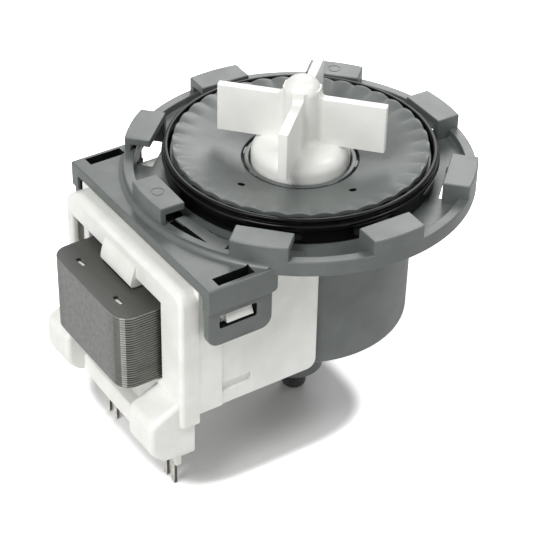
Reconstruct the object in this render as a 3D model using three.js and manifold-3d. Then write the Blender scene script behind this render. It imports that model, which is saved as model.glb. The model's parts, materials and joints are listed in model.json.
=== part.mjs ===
// Drain pump of a washing machine: a synchronous motor that turns a four-blade impeller on a bayonet flange.
// Millimetres, +Z up. The origin is on the rotor's axis, in the plane that the pump stands on.
// The laminated core's yoke points to -X, and the connector feet stand below it.
import * as THREE from "three";
import { mergeVertices } from "three/addons/utils/BufferGeometryUtils.js";
import Module from "manifold-3d";

const wasm = await Module();
wasm.setup();

// Clearances
const FIT_GAP = 0.3; // between pieces that touch on the real pump
const RUNNING_GAP = 0.08; // between the shaft and what it turns in
const CUT_MARGIN = 1; // how far a cutting solid runs past the face that it cuts

// Facets of a full circle, and steps of a curve
const LARGE_FACETS = 48;
const MEDIUM_FACETS = 28;
const SMALL_FACETS = 16;
const HOLE_FACETS = 8;
const WIRE_SIDES = 8;
const WIRE_STEPS = 2; // for each point of the route
const CORNER_STEPS = 3;
const SECTOR_STEP = 10; // degrees
const MERGE_DISTANCE = 1e-4; // corners nearer than this are one

// Flange ring with its bayonet hooks
const FLOOR_THICKNESS = 1.8;
const RIM_HEIGHT = 2;
const RIM_WIDTH = 2.5;
const HOOK_COUNT = 8;
const HOOK_PHASE = -2.1; // degrees
const HOOK_WIDTH = 13.5;
const HOOK_INNER_GAP = 4.1; // from the spigot to the hooks
const HOOK_DEPTH = 6.9; // from a hook's inner edge to the ring's outer edge
const HOOK_ROOF = 2;
const HOOK_SPACE = 3.6; // free height under a hook's roof
const HOOK_WALL = 2.1;
const HOOK_STOP = 2; // wall that closes one end of each hook
const WINDOW_GAP = 2.9; // from the spigot to the window in the floor under each hook
const WINDOW_WIDTH = 4.8;
const WINDOW_OVERRUN = 1.5; // beyond the hook's open end

// Locking tongue after hook TONGUE_HOOK: a springy arm, level with the rim beside it
const TONGUE_HOOK = 4;
const TONGUE_RISE = 1; // height of the tongue and of the rim beside it above the floor
const TONGUE_WIDTH = 3.2;
const TONGUE_TIP_INSET = 1.1; // from the window's inner side to the free end's inner edge
const TONGUE_ROOT_INSET = 2.5; // and to the root's inner edge
const TONGUE_WEDGE_ANGLE = 12.5; // degrees that the outer slit runs before it ends in a point
const TONGUE_ROOT_ANGLE = 15.5; // degrees from the free end to the root
const TONGUE_SLIT_ANGLE = 20; // degrees that the inner slit runs
const TONGUE_FLOOR_INSET = 0.4; // and to the edge of the floor beside the inner slit
const SLIT_OVERLAP = 4; // degrees that both slits start inside the window

// Spigot that carries the gasket, and the deck inside it
const SPIGOT_RADIUS = 31;
const SPIGOT_WALL = 2.4;
const SPIGOT_HEIGHT = 4.8;
const DECK_THICKNESS = 1.2;
const DECK_DROP = 1; // how far the bracket's and deck's underside lies below the ring's

// Bracket plate and its two clip arms
const BRACKET_INSET = 4.5; // from the stator housing's end face to the plate's end
const EAR_LENGTH = 16.9;
const ARM_INNER_GAP = 1.6; // from the stator housing's pillars to the arms
const ARM_WALL = 2.9;
const ARM_UPPER_HEIGHT = 3.7;
const ARM_LOWER_HEIGHT = 9.9;
const ARM_STEP = 0.8; // how far the arm's lower part is set back
const ARM_OVERHANG = 1.2; // how far the arm's upper part runs past the ear
const ARM_CORNER = 3;
const CLIP_WINDOW_INSET = 3.2; // from the plate's end
const CLIP_WINDOW_LENGTH = 9.8;
const CLIP_WINDOW_HEIGHT = 3.5;
const CLIP_WINDOW_DROP = 1.7; // from the arm's step down to the window
const CLIP_SLOT_WIDTH = 2.9; // slot in the plate above each window
const CLIP_SLOT_GAP = 0.5; // from the stator housing's pillars to the slot
const ARM_SKIN = 0.9; // wall left outside the slot in the arm's lower part

// Cup over the pole ends, the rotor chamber and the rear boss
const CUP_GAP = 1; // from the spigot's inner side in to the cup
const CUP_WALL = 1.8;
const CUP_DRAFT = 0.3;
const SEAM_GAP = 0.5; // from the rotor chamber to the cup's open side
const CHAMBER_RADIUS = 10.2;
const CHAMBER_WALL = 1;
const BOSS_RADIUS = 7.3;
const BOSS_BOTTOM = 7;
const BOSS_LENGTH = 21;
const BOSS_FLOOR = 2.6;
const REAR_POCKET_RADIUS = 5.3;
const REAR_POCKET_DEPTH = 7.8;
const SHAFT_WELL_RADIUS = 3.6;

// Rubber plug in the end of the boss, which the pump stands on
const PLUG_RADIUS = 3.2;
const PLUG_CORNER = 1.6;
const PLUG_STEM_RADIUS = 2.2;
const PLUG_STEM_LENGTH = 5;

// Laminated core
const CORE_HEIGHT = 19.8;
const CORE_REACH = 9.6; // how far the yoke stands out of the stator housing
const POLE_END = 10; // from the rotor's axis to the ends of the legs
const YOKE_WIDTH = 8.5;
const LEG_WIDTH = 9.85;
const CORE_CORNER = 4;
const POLE_GAP = 0.4;
const START_NOTCH = 0.8; // extra air gap over half of each pole
const START_NOTCH_ANGLE = 60; // degrees
const CLINCH_LENGTH = 3.4;
const CLINCH_WIDTH = 1.3;
const CLINCH_DEPTH = 0.4;
const CLINCH_SPACING = 17.4;
const CLINCH_INSET = 4; // from the yoke's end

// Bobbins and coils
const BOBBIN_START_GAP = 4.4; // from the stator housing's end wall, with room for the wiring
const BOBBIN_END_GAP = 1.9; // from the cup's open side
const BOBBIN_SPACING = 3.6; // between the flanges of the two bobbins
const BOBBIN_WALL = 0.9;
const BOBBIN_FLANGE = 1;
const FLANGE_LIP = 0.4; // how far a bobbin's flange stands past the winding
const WINDING = 3.2;
const COIL_CORNER = 2;

// White stator housing
const HOUSING_END = 49.4; // from the rotor's axis to the end face
const HOUSING_SIDE_ROOM = 3.3; // beside the bobbins
const HOUSING_WALL = 1.5;
const HOUSING_FLOOR = 1.3;
const HOUSING_CORNER = 2.5;
const PILLAR_EXTRA = 0.55; // how far the end pillars stand out of the sides
const PILLAR_WIDTH = 4.8;
const PILLAR_DROP = 3.1; // how far the pillars reach below the shell
const PANEL_EXTRA = 0.3; // raised panel beside each pillar
const PANEL_WIDTH = 11;
const SHOULDER_RADIUS = 5; // rounding of the end face's far upper corner
const OPENING_NEAR_GAP = 0.85; // beside the core, near and far side
const OPENING_FAR_GAP = 6.95;
const OPENING_TOP_GAP = 2.3; // above the core
const OPENING_BOTTOM_GAP = 0.4;
const RIB_WIDTH = 2.4;
const RIB_RECESS = 1;
const TOOTH_NEAR = 5; // middle tooth over the core
const TOOTH_FAR = 8;
const TOOTH_DEPTH = 1.6;
const TOOTH_GAP = 0.5;
const NOTCH_WIDTH = 3.2;
const NOTCH_DEPTH = 1;
const NOTCH_OFFSET = 2.2;
const LEDGE_LENGTH = 8; // slot with a ledge low on each side, next to the panel
const LEDGE_RISE = 3.8; // above the shell's bottom
const LEDGE_HEIGHT = 2.6;
const LEDGE_DEPTH = 1;
const SNAP_PLAY = 2.3; // from the window's start to the snap that enters it
const SNAP_LENGTH = 7;
const SNAP_HEIGHT = 2.9;
const SNAP_INSET = 0.3; // behind the arm's outer face
const SNAP_SLOPE = 1.6; // how much further in the snap's upper edge lies

// Connector block and feet of the stator housing
const BLOCK_INSET = 0.75; // from the shell's side to the block's
const BLOCK_HEIGHT = 11.6;
const BLOCK_THICKNESS = 4.3;
const BLOCK_MIDDLE_THICKNESS = 6; // between the feet
const BLOCK_MIDDLE_INSET = 4.3;
const FOOT_REACH = 7.6; // in front of the end face
const FOOT_WIDTH = 10.8;
const FOOT_TOP_FRONT = 0.5; // heights above the shell's bottom
const FOOT_TOP_BACK = 4.1;
const FOOT_CHAMFER = 3.6;
const BAR_REACH = 3.2;
const BAR_HEIGHT = 4.9;
const POST_WIDTH = 1.1;
const POST_DEPTH = 1.6;
const POST_LENGTH = 12.3;

// Terminals and wiring
const TERMINAL_INSET = 3.9; // behind the end face
const TERMINAL_SPACING = 28.2;
const TERMINAL_THICKNESS = 0.8;
const TERMINAL_WIDTH = 5.3;
const TERMINAL_REACH = 16.8; // below the block
const TERMINAL_RISE = 4.6; // above the shell's bottom
const PRONG_WIDTH = 1.7;
const PRONG_LENGTH = 9;
const LEAD_RADIUS = 0.5;
const LEAD_RISE = 8;
const LEAD_REACH = 2.2;
const FUSE_RADIUS = 1.6;
const FUSE_LENGTH = 12;
const FUSE_RISE = 3.6; // above the core
const LINK_REACH = 4.4; // sideways run of each lead of the fuse
const LINK_DROP = 0.5;

// Cover disc
const DISC_INSET = 0.6; // from the spigot's outer side in to the disc's rim
const DISC_RIM_RISE = 2.4; // above the spigot
const DISC_THICKNESS = 1.4;
const DISC_HUB_RISE = 2.9; // above the well's floor
const WAVE_COUNT = 36;
const WAVE_HEIGHT = 0.25;
const WAVE_LENGTH = 3.8; // from the rim inwards
const WAVE_STEPS = 2; // one crest and one trough for each wave
const SKIRT_WALL = 0.9;
const SKIRT_DEPTH = 5.4;
const WELL_RADIUS = 12.1;
const WELL_FLOOR = 1.3;
const GUARD_SEAT_WIDTH = 1.9;
const GUARD_SEAT_DEPTH = 1.6;
const DISC_HOLE_RADIUS = 0.65;
const DISC_HOLE_CIRCLE = 20.3;
const DISC_HOLE_ANGLES = [-88, -166.5];
const BEARING_POCKET_RADIUS = 5.8;
const BEARING_POCKET_DEPTH = 4.9;
const SHAFT_WEB = 1.2;
const SHAFT_WEB_HOLE = 2.2;
const SEAL_POCKET_DEPTH = 3.1;

// Hair guard ring in the cover disc
const GUARD_WIDTH = 1.1;
const GUARD_TABS = 8;
const GUARD_TAB_ANGLE = 12;
const GUARD_TAB_REACH = 0.35;

// Seals
const GASKET_WALL = 0.9;
const GASKET_LIP = 0.5;
const GASKET_TOP_GAP = 2; // how far the upper lip stands above the spigot
const GASKET_LIP_SPACING = 1.5;
const LIP_START_ANGLE = -60; // degrees
const LIP_STEPS = 2;
const O_RING_RADIUS = 0.7;
const O_RING_SIDES = 6;
const O_RING_DROP = 3; // below the deck's top
const SEAL_WALL = 1;
const SEAL_LIP = 0.5;

// Rotor
const SHAFT_RADIUS = 1.5;
const SHAFT_END_ROOM = 3.8; // below the shaft
const ROTOR_GAP = 1; // between the magnet and the rotor chamber
const ROTOR_END_ROOM = 0.9; // for the thrust washer at each end
const MAGNET_LENGTH = 23.8;
const SLEEVE_RADIUS = 3.7;
const SLEEVE_FLANGE_RADIUS = 6.4;
const SLEEVE_FLANGE = 1.5;
const FIT_PLAY = 0.2; // radial play between pieces fixed to the shaft
const BEARING_WALL = 1.1;
const WASHER_RADIUS = 4.6;
const WASHER_THICKNESS = 0.7;

// Impeller and its lost-motion coupling
const BLADE_GAP = 0.7; // above the cover disc's rim
const BLADE_HEIGHT = 12;
const BLADE_THICKNESS = 2.2;
const BLADE_PHASE = -47.65; // degrees
const LONG_BLADE = 20.2; // radius of one pair of blades
const SHORT_BLADE = 18.5; // radius of the other pair
const NECK_RADIUS = 4.35;
const NECK_RISE = 4.7; // above the blades
const DOME_HEIGHT = 3.2;
const BOWL_SIDE_GAP = 0.3; // between the bowl and the well
const BOWL_GAP = 1.2; // above the well's floor
const BOWL_CORNER = 3.5;
const BOWL_SKIN = 0.8;
const SHAFT_BORE_TOP = 3.6; // material above the shaft in the neck
const CAP_THICKNESS = 1;
const DRIVE_WALL = 2; // of the bowl round the coupling
const DRIVE_HEIGHT = 3.5;
const DRIVE_HUB_RADIUS = 3.2;
const DOG_ANGLE = 40;
const LUG_ANGLE = 140;
const BUFFER_ANGLE = 8;
const BUFFER_GAP_ANGLE = 2;
const DRIVE_GAP = 0.4;

// Heights that follow from the sizes above, from the floor up
const cupBottom = BOSS_BOTTOM + BOSS_LENGTH;
const chamberFloor = cupBottom + CUP_WALL;
const shaftWellFloor = BOSS_BOTTOM + PLUG_STEM_LENGTH + BOSS_FLOOR;
const magnetBottom = chamberFloor + ROTOR_END_ROOM + SLEEVE_FLANGE + FIT_GAP;
const magnetTop = magnetBottom + MAGNET_LENGTH;
const coreMiddle = (magnetBottom + magnetTop) / 2;
const coreBottom = coreMiddle - CORE_HEIGHT / 2;
const coreTop = coreMiddle + CORE_HEIGHT / 2;
const plugTubeBottom = magnetTop + ROTOR_END_ROOM;
const bearingPocketTop = plugTubeBottom + BEARING_POCKET_DEPTH;
const sealPocketBottom = bearingPocketTop + SHAFT_WEB;
const wellFloorTop = sealPocketBottom + SEAL_POCKET_DEPTH;
const wellFloorBottom = wellFloorTop - WELL_FLOOR;
const deckTop = wellFloorBottom - FIT_GAP;
const bracketBottom = deckTop - DECK_THICKNESS;
const flangeBottom = bracketBottom + DECK_DROP;
const floorTop = flangeBottom + FLOOR_THICKNESS;
const hookTop = floorTop + HOOK_SPACE + HOOK_ROOF;
const spigotTop = floorTop + SPIGOT_HEIGHT;
const armStepZ = bracketBottom - ARM_UPPER_HEIGHT;
const armBottom = armStepZ - ARM_LOWER_HEIGHT;
const clipWindowTop = armStepZ - CLIP_WINDOW_DROP;
const clipWindowBottom = clipWindowTop - CLIP_WINDOW_HEIGHT;
const discRimTop = spigotTop + DISC_RIM_RISE;
const discHubTop = wellFloorTop + DISC_HUB_RISE;
const bowlBottom = wellFloorTop + BOWL_GAP;
const driveBottom = bowlBottom + CAP_THICKNESS + FIT_GAP;
const driveTop = driveBottom + DRIVE_HEIGHT;
const bladeBottom = discRimTop + BLADE_GAP;
const bladeTop = bladeBottom + BLADE_HEIGHT;
const neckTop = bladeTop + NECK_RISE;
const shaftTop = neckTop - SHAFT_BORE_TOP;

// Heights of the stator housing, down from the bobbins
const bobbinMargin = FIT_GAP + BOBBIN_WALL + WINDING + FLANGE_LIP;
const housingTop = bracketBottom - FIT_GAP;
const housingBottom = coreBottom - bobbinMargin - HOUSING_FLOOR;
const blockBottom = housingBottom - BLOCK_HEIGHT;
const terminalBottom = blockBottom - TERMINAL_REACH;
const terminalTop = housingBottom + TERMINAL_RISE;

// Radii from the rotor's axis
const chamberOuter = CHAMBER_RADIUS + CHAMBER_WALL;
const magnetRadius = CHAMBER_RADIUS - ROTOR_GAP;
const spigotInner = SPIGOT_RADIUS - SPIGOT_WALL;
const cupRadius = spigotInner - CUP_GAP;
const hookInner = SPIGOT_RADIUS + HOOK_INNER_GAP;
const flangeRadius = hookInner + HOOK_DEPTH;
const rimInner = flangeRadius - RIM_WIDTH;
const windowInner = SPIGOT_RADIUS + WINDOW_GAP;
const tongueTipRadius = windowInner + TONGUE_TIP_INSET;
const tongueRootRadius = windowInner + TONGUE_ROOT_INSET;
const discRadius = SPIGOT_RADIUS - DISC_INSET;
const waveStart = discRadius - WAVE_LENGTH;
const discSlope = (discRimTop - discHubTop) / (discRadius - WELL_RADIUS - GUARD_SEAT_WIDTH);
const bushInner = SHAFT_RADIUS + RUNNING_GAP;
const bushOuter = bushInner + BEARING_WALL;
const fixedBore = SHAFT_RADIUS + FIT_PLAY;
const bowlRadius = WELL_RADIUS - BOWL_SIDE_GAP;
const driveRadius = bowlRadius - DRIVE_WALL;

// Widths from the plane that the pump is symmetric about
const legInner = BOBBIN_SPACING / 2 + bobbinMargin;
const coreHalfWidth = legInner + LEG_WIDTH;
const housingHalfWidth = coreHalfWidth + bobbinMargin + HOUSING_SIDE_ROOM + HOUSING_WALL;
const pillarOuter = housingHalfWidth + PILLAR_EXTRA;
const armInner = pillarOuter + ARM_INNER_GAP;
const bracketHalfWidth = armInner + ARM_WALL;
const armLowerOuter = bracketHalfWidth - ARM_STEP;
const blockHalfWidth = housingHalfWidth - BLOCK_INSET;
const footInner = blockHalfWidth - FOOT_WIDTH;

// Places along X
const seamX = -chamberOuter - SEAM_GAP;
const housingOpenX = seamX - FIT_GAP;
const housingEndX = -HOUSING_END;
const coreEndX = housingEndX - CORE_REACH;
const bobbinStartX = housingEndX + HOUSING_WALL + BOBBIN_START_GAP;
const bobbinEndX = seamX - BOBBIN_END_GAP;
const terminalX = housingEndX + TERMINAL_INSET;
const bracketEndX = housingEndX + BRACKET_INSET;
const earX = bracketEndX + EAR_LENGTH;
const clipWindowX = bracketEndX + CLIP_WINDOW_INSET;
const ledgeX = housingEndX + PANEL_WIDTH;
const snapX = clipWindowX + SNAP_PLAY;

const degrees = (angle) => (angle * Math.PI) / 180;
const onCircle = (radius, angle) => new THREE.Vector2(radius * Math.cos(angle), radius * Math.sin(angle));

// Turns a closed three.js geometry into a manifold solid.
function solid(geometry) {
  const bare = new THREE.BufferGeometry();
  bare.setAttribute("position", geometry.getAttribute("position"));
  if (geometry.index) bare.setIndex(geometry.index);
  const merged = mergeVertices(bare, MERGE_DISTANCE);
  const corners = [];
  for (let i = 0; i < merged.index.count; i += 3) {
    const [a, b, c] = [0, 1, 2].map((k) => merged.index.getX(i + k));
    if (a !== b && b !== c && c !== a) corners.push(a, b, c);
  }
  const vertProperties = merged.attributes.position.array;
  return new wasm.Manifold(
    new wasm.Mesh({ numProp: 3, vertProperties, triVerts: new Uint32Array(corners) }),
  );
}

const unite = (first, ...others) => others.reduce((sum, next) => sum.add(next), first);
const cut = (first, ...others) => others.reduce((sum, next) => sum.subtract(next), first);

// Box between two values on each axis.
function box(x, y, z) {
  const geometry = new THREE.BoxGeometry(x[1] - x[0], y[1] - y[0], z[1] - z[0]);
  geometry.translate((x[0] + x[1]) / 2, (y[0] + y[1]) / 2, (z[0] + z[1]) / 2);
  return solid(geometry);
}

// Revolves a closed outline of [radius, height] points about Z.
function revolve(outline, facets, turn = 0) {
  const points = outline.map(([radius, height]) => new THREE.Vector2(radius, height));
  if (THREE.ShapeUtils.area(points) < 0) points.reverse();
  const start = points.findIndex((point) => point.x === 0);
  const ordered = start < 0 ? points : startOnAxis(points);
  if (start < 0) ordered.push(ordered[0].clone());
  const geometry = new THREE.LatheGeometry(ordered, facets, turn);
  geometry.rotateX(Math.PI / 2);
  return solid(geometry);
}

// Turns an outline's list so that it starts and ends on the axis.
function startOnAxis(points) {
  const count = points.length;
  const first = points.findIndex((point, i) => point.x === 0 && points[(i + count - 1) % count].x === 0);
  return [...points.slice(first), ...points.slice(0, first)];
}

const cylinder = (radius, z0, z1, facets = SMALL_FACETS) =>
  revolve([[0, z0], [radius, z0], [radius, z1], [0, z1]], facets);

const ring = (inner, outer, z0, z1, facets = SMALL_FACETS) =>
  revolve([[inner, z0], [outer, z0], [outer, z1], [inner, z1]], facets);

// Extrudes a shape drawn in the XY plane from z0 to z1.
function slab(shape, z0, z1) {
  const geometry = new THREE.ExtrudeGeometry(shape, { depth: z1 - z0, bevelEnabled: false });
  geometry.translate(0, 0, z0);
  return solid(geometry);
}

// Extrudes an outline of [x, z] points along Y.
function sideProfile(outline, y0, y1) {
  const shape = new THREE.Shape(outline.map(([x, z]) => new THREE.Vector2(x, z)));
  const geometry = new THREE.ExtrudeGeometry(shape, { depth: y1 - y0, bevelEnabled: false });
  geometry.rotateX(Math.PI / 2);
  geometry.translate(0, y1, 0);
  return solid(geometry);
}

// Extrudes an outline of [y, z] points along X.
function endProfile(outline, x0, x1) {
  const shape = new THREE.Shape(outline.map(([y, z]) => new THREE.Vector2(y, z)));
  const geometry = new THREE.ExtrudeGeometry(shape, { depth: x1 - x0, bevelEnabled: false });
  geometry.applyMatrix4(new THREE.Matrix4().makeBasis(
    new THREE.Vector3(0, 1, 0),
    new THREE.Vector3(0, 0, 1),
    new THREE.Vector3(1, 0, 0),
  ));
  geometry.translate(x0, 0, 0);
  return solid(geometry);
}

// Points of an arc about a centre, both ends included.
function arc(centre, radius, from, to, steps = CORNER_STEPS) {
  return Array.from({ length: steps + 1 }, (_, i) => {
    const angle = degrees(from + ((to - from) * i) / steps);
    return [centre[0] + radius * Math.cos(angle), centre[1] + radius * Math.sin(angle)];
  });
}

// Sector of a ring between two angles in degrees.
function sector(inner, outer, from, to, z0, z1) {
  const outline = [...axisArc(outer, from, to), ...axisArc(inner, to, from)];
  return slab(new THREE.Shape(outline), z0, z1);
}

// Round wire along a path of points.
function wire(points, radius) {
  const turn = 360 / WIRE_SIDES;
  const corners = Array.from({ length: WIRE_SIDES }, (_, i) => onCircle(radius, degrees(turn * i)));
  const curve = new THREE.CatmullRomCurve3(points, false, "centripetal");
  const steps = WIRE_STEPS * points.length;
  return solid(new THREE.ExtrudeGeometry(new THREE.Shape(corners), { extrudePath: curve, steps }));
}

// Revolves an outline of [radius, height] points that changes with the angle, listed top side first.
function revolveVarying(outlineAt, steps) {
  const sections = Array.from({ length: steps }, (_, i) => {
    const angle = (2 * Math.PI * i) / steps;
    return outlineAt(angle).map(([radius, z]) => [radius * Math.cos(angle), radius * Math.sin(angle), z]);
  });
  const size = sections[0].length;
  const index = [];
  for (let i = 0; i < steps; i += 1) {
    const next = (i + 1) % steps;
    for (let k = 0; k < size; k += 1) {
      const [a, b] = [i * size + k, i * size + ((k + 1) % size)];
      const [c, d] = [next * size + k, next * size + ((k + 1) % size)];
      index.push(a, b, c, b, d, c);
    }
  }
  const geometry = new THREE.BufferGeometry();
  geometry.setAttribute("position", new THREE.Float32BufferAttribute(sections.flat(2), 3));
  geometry.setIndex(index);
  return solid(geometry);
}

// Turns a solid about Z by an angle in degrees.
const turned = (shape, angle) => shape.rotate([0, 0, angle]);

const mirroredY = (shape) => shape.mirror([0, 1, 0]);

// Materials
const material = (color, roughness, metalness = 0) =>
  new THREE.MeshStandardMaterial({ color, roughness, metalness });
const greyPlastic = material(0x8b8e8c, 0.5);
const whitePlastic = material(0xeeeeea, 0.45);
const blackRubber = material(0x141414, 0.35);
const coreSteel = material(0x5d5e5c, 0.45, 0.8);
const shaftSteel = material(0xc4c6c8, 0.25, 1);
const tin = material(0xb9b9b4, 0.3, 1);
const copper = material(0xa6542c, 0.4, 0.8);
const ferrite = material(0x2b2b2d, 0.6);
const graphite = material(0x3a3b3d, 0.6);
const naturalNylon = material(0xe2dcc8, 0.5);
const fuseCase = material(0xd8d2c0, 0.4);

const pump = new THREE.Group();

// Adds a solid to the pump as a named mesh.
function piece(name, shape, look) {
  const { vertProperties, triVerts } = shape.getMesh();
  const geometry = new THREE.BufferGeometry();
  geometry.setAttribute("position", new THREE.BufferAttribute(vertProperties, 3));
  geometry.setIndex(new THREE.BufferAttribute(triVerts, 1));
  geometry.computeVertexNormals();
  const mesh = new THREE.Mesh(geometry, look);
  mesh.name = name;
  pump.add(mesh);
}

// Flange ring, spigot and deck, with the hooks and the tongue's raised stretch.
function flange() {
  const base = revolve([
    [flangeRadius, flangeBottom],
    [flangeRadius, floorTop + RIM_HEIGHT],
    [rimInner, floorTop + RIM_HEIGHT],
    [rimInner, floorTop],
    [SPIGOT_RADIUS, floorTop],
    [SPIGOT_RADIUS, spigotTop],
    [spigotInner, spigotTop],
    [spigotInner, bracketBottom],
    [SPIGOT_RADIUS + SPIGOT_WALL, bracketBottom],
    [SPIGOT_RADIUS + SPIGOT_WALL, flangeBottom],
  ], LARGE_FACETS);
  return unite(base.subtract(rimStep()), tongueRise(), bracketPlate(), ...hooks());
}

// What the rim lacks beside the tongue, from the middle of its hook to the middle of the next one.
function rimStep() {
  const [from, to] = hookAngles().slice(TONGUE_HOOK);
  const z = [floorTop + TONGUE_RISE, floorTop + RIM_HEIGHT + CUT_MARGIN];
  return sector(rimInner - CUT_MARGIN, flangeRadius + CUT_MARGIN, from, to, ...z);
}

function hooks() {
  const outside = cylinder(flangeRadius, flangeBottom, hookTop, LARGE_FACETS);
  const half = HOOK_WIDTH / 2;
  const block = box([hookInner, flangeRadius + CUT_MARGIN], [-half, half], [flangeBottom, hookTop]);
  const room = box(
    [hookInner - CUT_MARGIN, flangeRadius - HOOK_WALL],
    [-half + HOOK_STOP, half + CUT_MARGIN],
    [flangeBottom - CUT_MARGIN, hookTop - HOOK_ROOF],
  );
  const hook = block.subtract(room);
  return hookAngles().map((angle) => turned(hook, angle).intersect(outside));
}

function hookAngles() {
  return Array.from({ length: HOOK_COUNT }, (_, i) => HOOK_PHASE + (360 / HOOK_COUNT) * i);
}

function hookWindows() {
  const half = HOOK_WIDTH / 2;
  const window = box(
    [windowInner, windowInner + WINDOW_WIDTH],
    [-half + HOOK_STOP, half + WINDOW_OVERRUN],
    [bracketBottom - CUT_MARGIN, floorTop + CUT_MARGIN],
  );
  return hookAngles().map((angle) => turned(window, angle));
}

// Angle in degrees at which the tongue's free end stands, where its hook's window ends.
function tongueTipAngle() {
  const end = HOOK_WIDTH / 2 + WINDOW_OVERRUN;
  const middle = windowInner + WINDOW_WIDTH / 2;
  return hookAngles()[TONGUE_HOOK] + THREE.MathUtils.radToDeg(Math.atan2(end, middle));
}

// Points of the tongue's inner edge, from inside the window to the end of the inner slit.
function tongueInnerEdge() {
  const tip = tongueTipAngle();
  return [
    onCircle(tongueTipRadius, degrees(tip - SLIT_OVERLAP)),
    onCircle(tongueTipRadius, degrees(tip)),
    onCircle(tongueRootRadius, degrees(tip + TONGUE_ROOT_ANGLE)),
    onCircle(tongueRootRadius, degrees(tip + TONGUE_SLIT_ANGLE)),
  ];
}

// Points of an arc about the rotor's axis, between two angles in degrees.
function axisArc(radius, from, to) {
  const steps = Math.ceil(Math.abs(to - from) / SECTOR_STEP);
  return arc([0, 0], radius, from, to, steps).map(([x, y]) => new THREE.Vector2(x, y));
}

// Stretch of the floor that is raised to the tongue's height.
function tongueRise() {
  const tip = tongueTipAngle();
  const outer = axisArc(rimInner + RIM_WIDTH / 2, tip + TONGUE_SLIT_ANGLE, tip - SLIT_OVERLAP);
  const z = [flangeBottom, floorTop + TONGUE_RISE];
  return slab(new THREE.Shape([...tongueInnerEdge(), ...outer]), ...z);
}

// The two slits that free the tongue's sides.
function tongueSlits() {
  const tip = tongueTipAngle();
  const start = tip - SLIT_OVERLAP;
  const wedge = new THREE.Shape([
    ...axisArc(rimInner, start, tip + TONGUE_WEDGE_ANGLE),
    onCircle(tongueTipRadius + TONGUE_WIDTH, degrees(tip)),
    onCircle(tongueTipRadius + TONGUE_WIDTH, degrees(start)),
  ]);
  const floorEdge = axisArc(windowInner + TONGUE_FLOOR_INSET, tip + TONGUE_SLIT_ANGLE, start);
  const slit = new THREE.Shape([...tongueInnerEdge(), ...floorEdge]);
  const z = [bracketBottom - CUT_MARGIN, floorTop + RIM_HEIGHT + CUT_MARGIN];
  return [slab(wedge, ...z), slab(slit, ...z)];
}

function bracketPlate() {
  const plate = box(
    [bracketEndX, earX],
    [-bracketHalfWidth, bracketHalfWidth],
    [bracketBottom, floorTop],
  );
  const inside = cylinder(
    SPIGOT_RADIUS - SPIGOT_WALL / 2,
    bracketBottom - CUT_MARGIN,
    floorTop + CUT_MARGIN,
    LARGE_FACETS,
  );
  return plate.subtract(inside);
}

// Clip arm on the -Y side: a thick upper part, and a thinner lower one with rounded corners.
function clipArm() {
  const upper = box(
    [bracketEndX, earX + ARM_OVERHANG],
    [-bracketHalfWidth, -armInner],
    [armStepZ, bracketBottom + FLOOR_THICKNESS],
  );
  const [left, right] = [bracketEndX + FIT_GAP, earX + FIT_GAP];
  const lower = sideProfile([
    [left, bracketBottom],
    ...arc([left + ARM_CORNER, armBottom + ARM_CORNER], ARM_CORNER, 180, 270),
    ...arc([right - ARM_CORNER, armBottom + ARM_CORNER], ARM_CORNER, 270, 360),
    [right, bracketBottom],
  ], -armLowerOuter, -armInner);
  return upper.add(lower);
}

// Window in the arm on the -Y side, and the slot that reaches it from above.
function clipCuts() {
  const x = [clipWindowX, clipWindowX + CLIP_WINDOW_LENGTH];
  const slotInner = pillarOuter + CLIP_SLOT_GAP;
  const slot = box(x, [-slotInner - CLIP_SLOT_WIDTH, -slotInner], [armStepZ, floorTop + CUT_MARGIN]);
  const pocket = box(
    x,
    [-armLowerOuter + ARM_SKIN, -armInner + CUT_MARGIN],
    [clipWindowBottom, armStepZ + CUT_MARGIN],
  );
  const window = box(
    x,
    [-bracketHalfWidth - CUT_MARGIN, -armInner + CUT_MARGIN],
    [clipWindowBottom, clipWindowTop],
  );
  return unite(slot, pocket, window);
}

// Rotor chamber, its deck and the rear boss with the bearing pocket.
function rotorChamber() {
  const pocketFloor = chamberFloor - REAR_POCKET_DEPTH;
  const stemHole = PLUG_STEM_RADIUS + FIT_GAP;
  return revolve([
    [spigotInner + SPIGOT_WALL / 2, bracketBottom],
    [spigotInner + SPIGOT_WALL / 2, deckTop],
    [CHAMBER_RADIUS, deckTop],
    [CHAMBER_RADIUS, chamberFloor],
    [REAR_POCKET_RADIUS, chamberFloor],
    [REAR_POCKET_RADIUS, pocketFloor],
    [SHAFT_WELL_RADIUS, pocketFloor],
    [SHAFT_WELL_RADIUS, shaftWellFloor],
    [stemHole, shaftWellFloor],
    [stemHole, BOSS_BOTTOM],
    [BOSS_RADIUS, BOSS_BOTTOM],
    [BOSS_RADIUS, cupBottom],
    [chamberOuter, cupBottom],
    [chamberOuter, bracketBottom],
  ], MEDIUM_FACETS);
}

// Cup that covers the pole ends, open towards the stator housing.
function cup() {
  const inner = cupRadius - CUP_WALL;
  const floorInner = chamberOuter - CHAMBER_WALL / 2;
  const shell = revolve([
    [floorInner, cupBottom],
    [cupRadius - CUP_DRAFT, cupBottom],
    [cupRadius, deckTop],
    [inner, deckTop],
    [inner - CUP_DRAFT, chamberFloor],
    [floorInner, chamberFloor],
  ], LARGE_FACETS);
  const reach = cupRadius + CUT_MARGIN;
  return shell.intersect(box([seamX, reach], [-reach, reach], [cupBottom, deckTop]));
}

function pumpBody() {
  const arm = clipArm();
  const cuts = clipCuts();
  const whole = unite(flange(), rotorChamber(), cup(), arm, mirroredY(arm));
  return cut(whole, ...hookWindows(), ...tongueSlits(), cuts, mirroredY(cuts));
}

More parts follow.
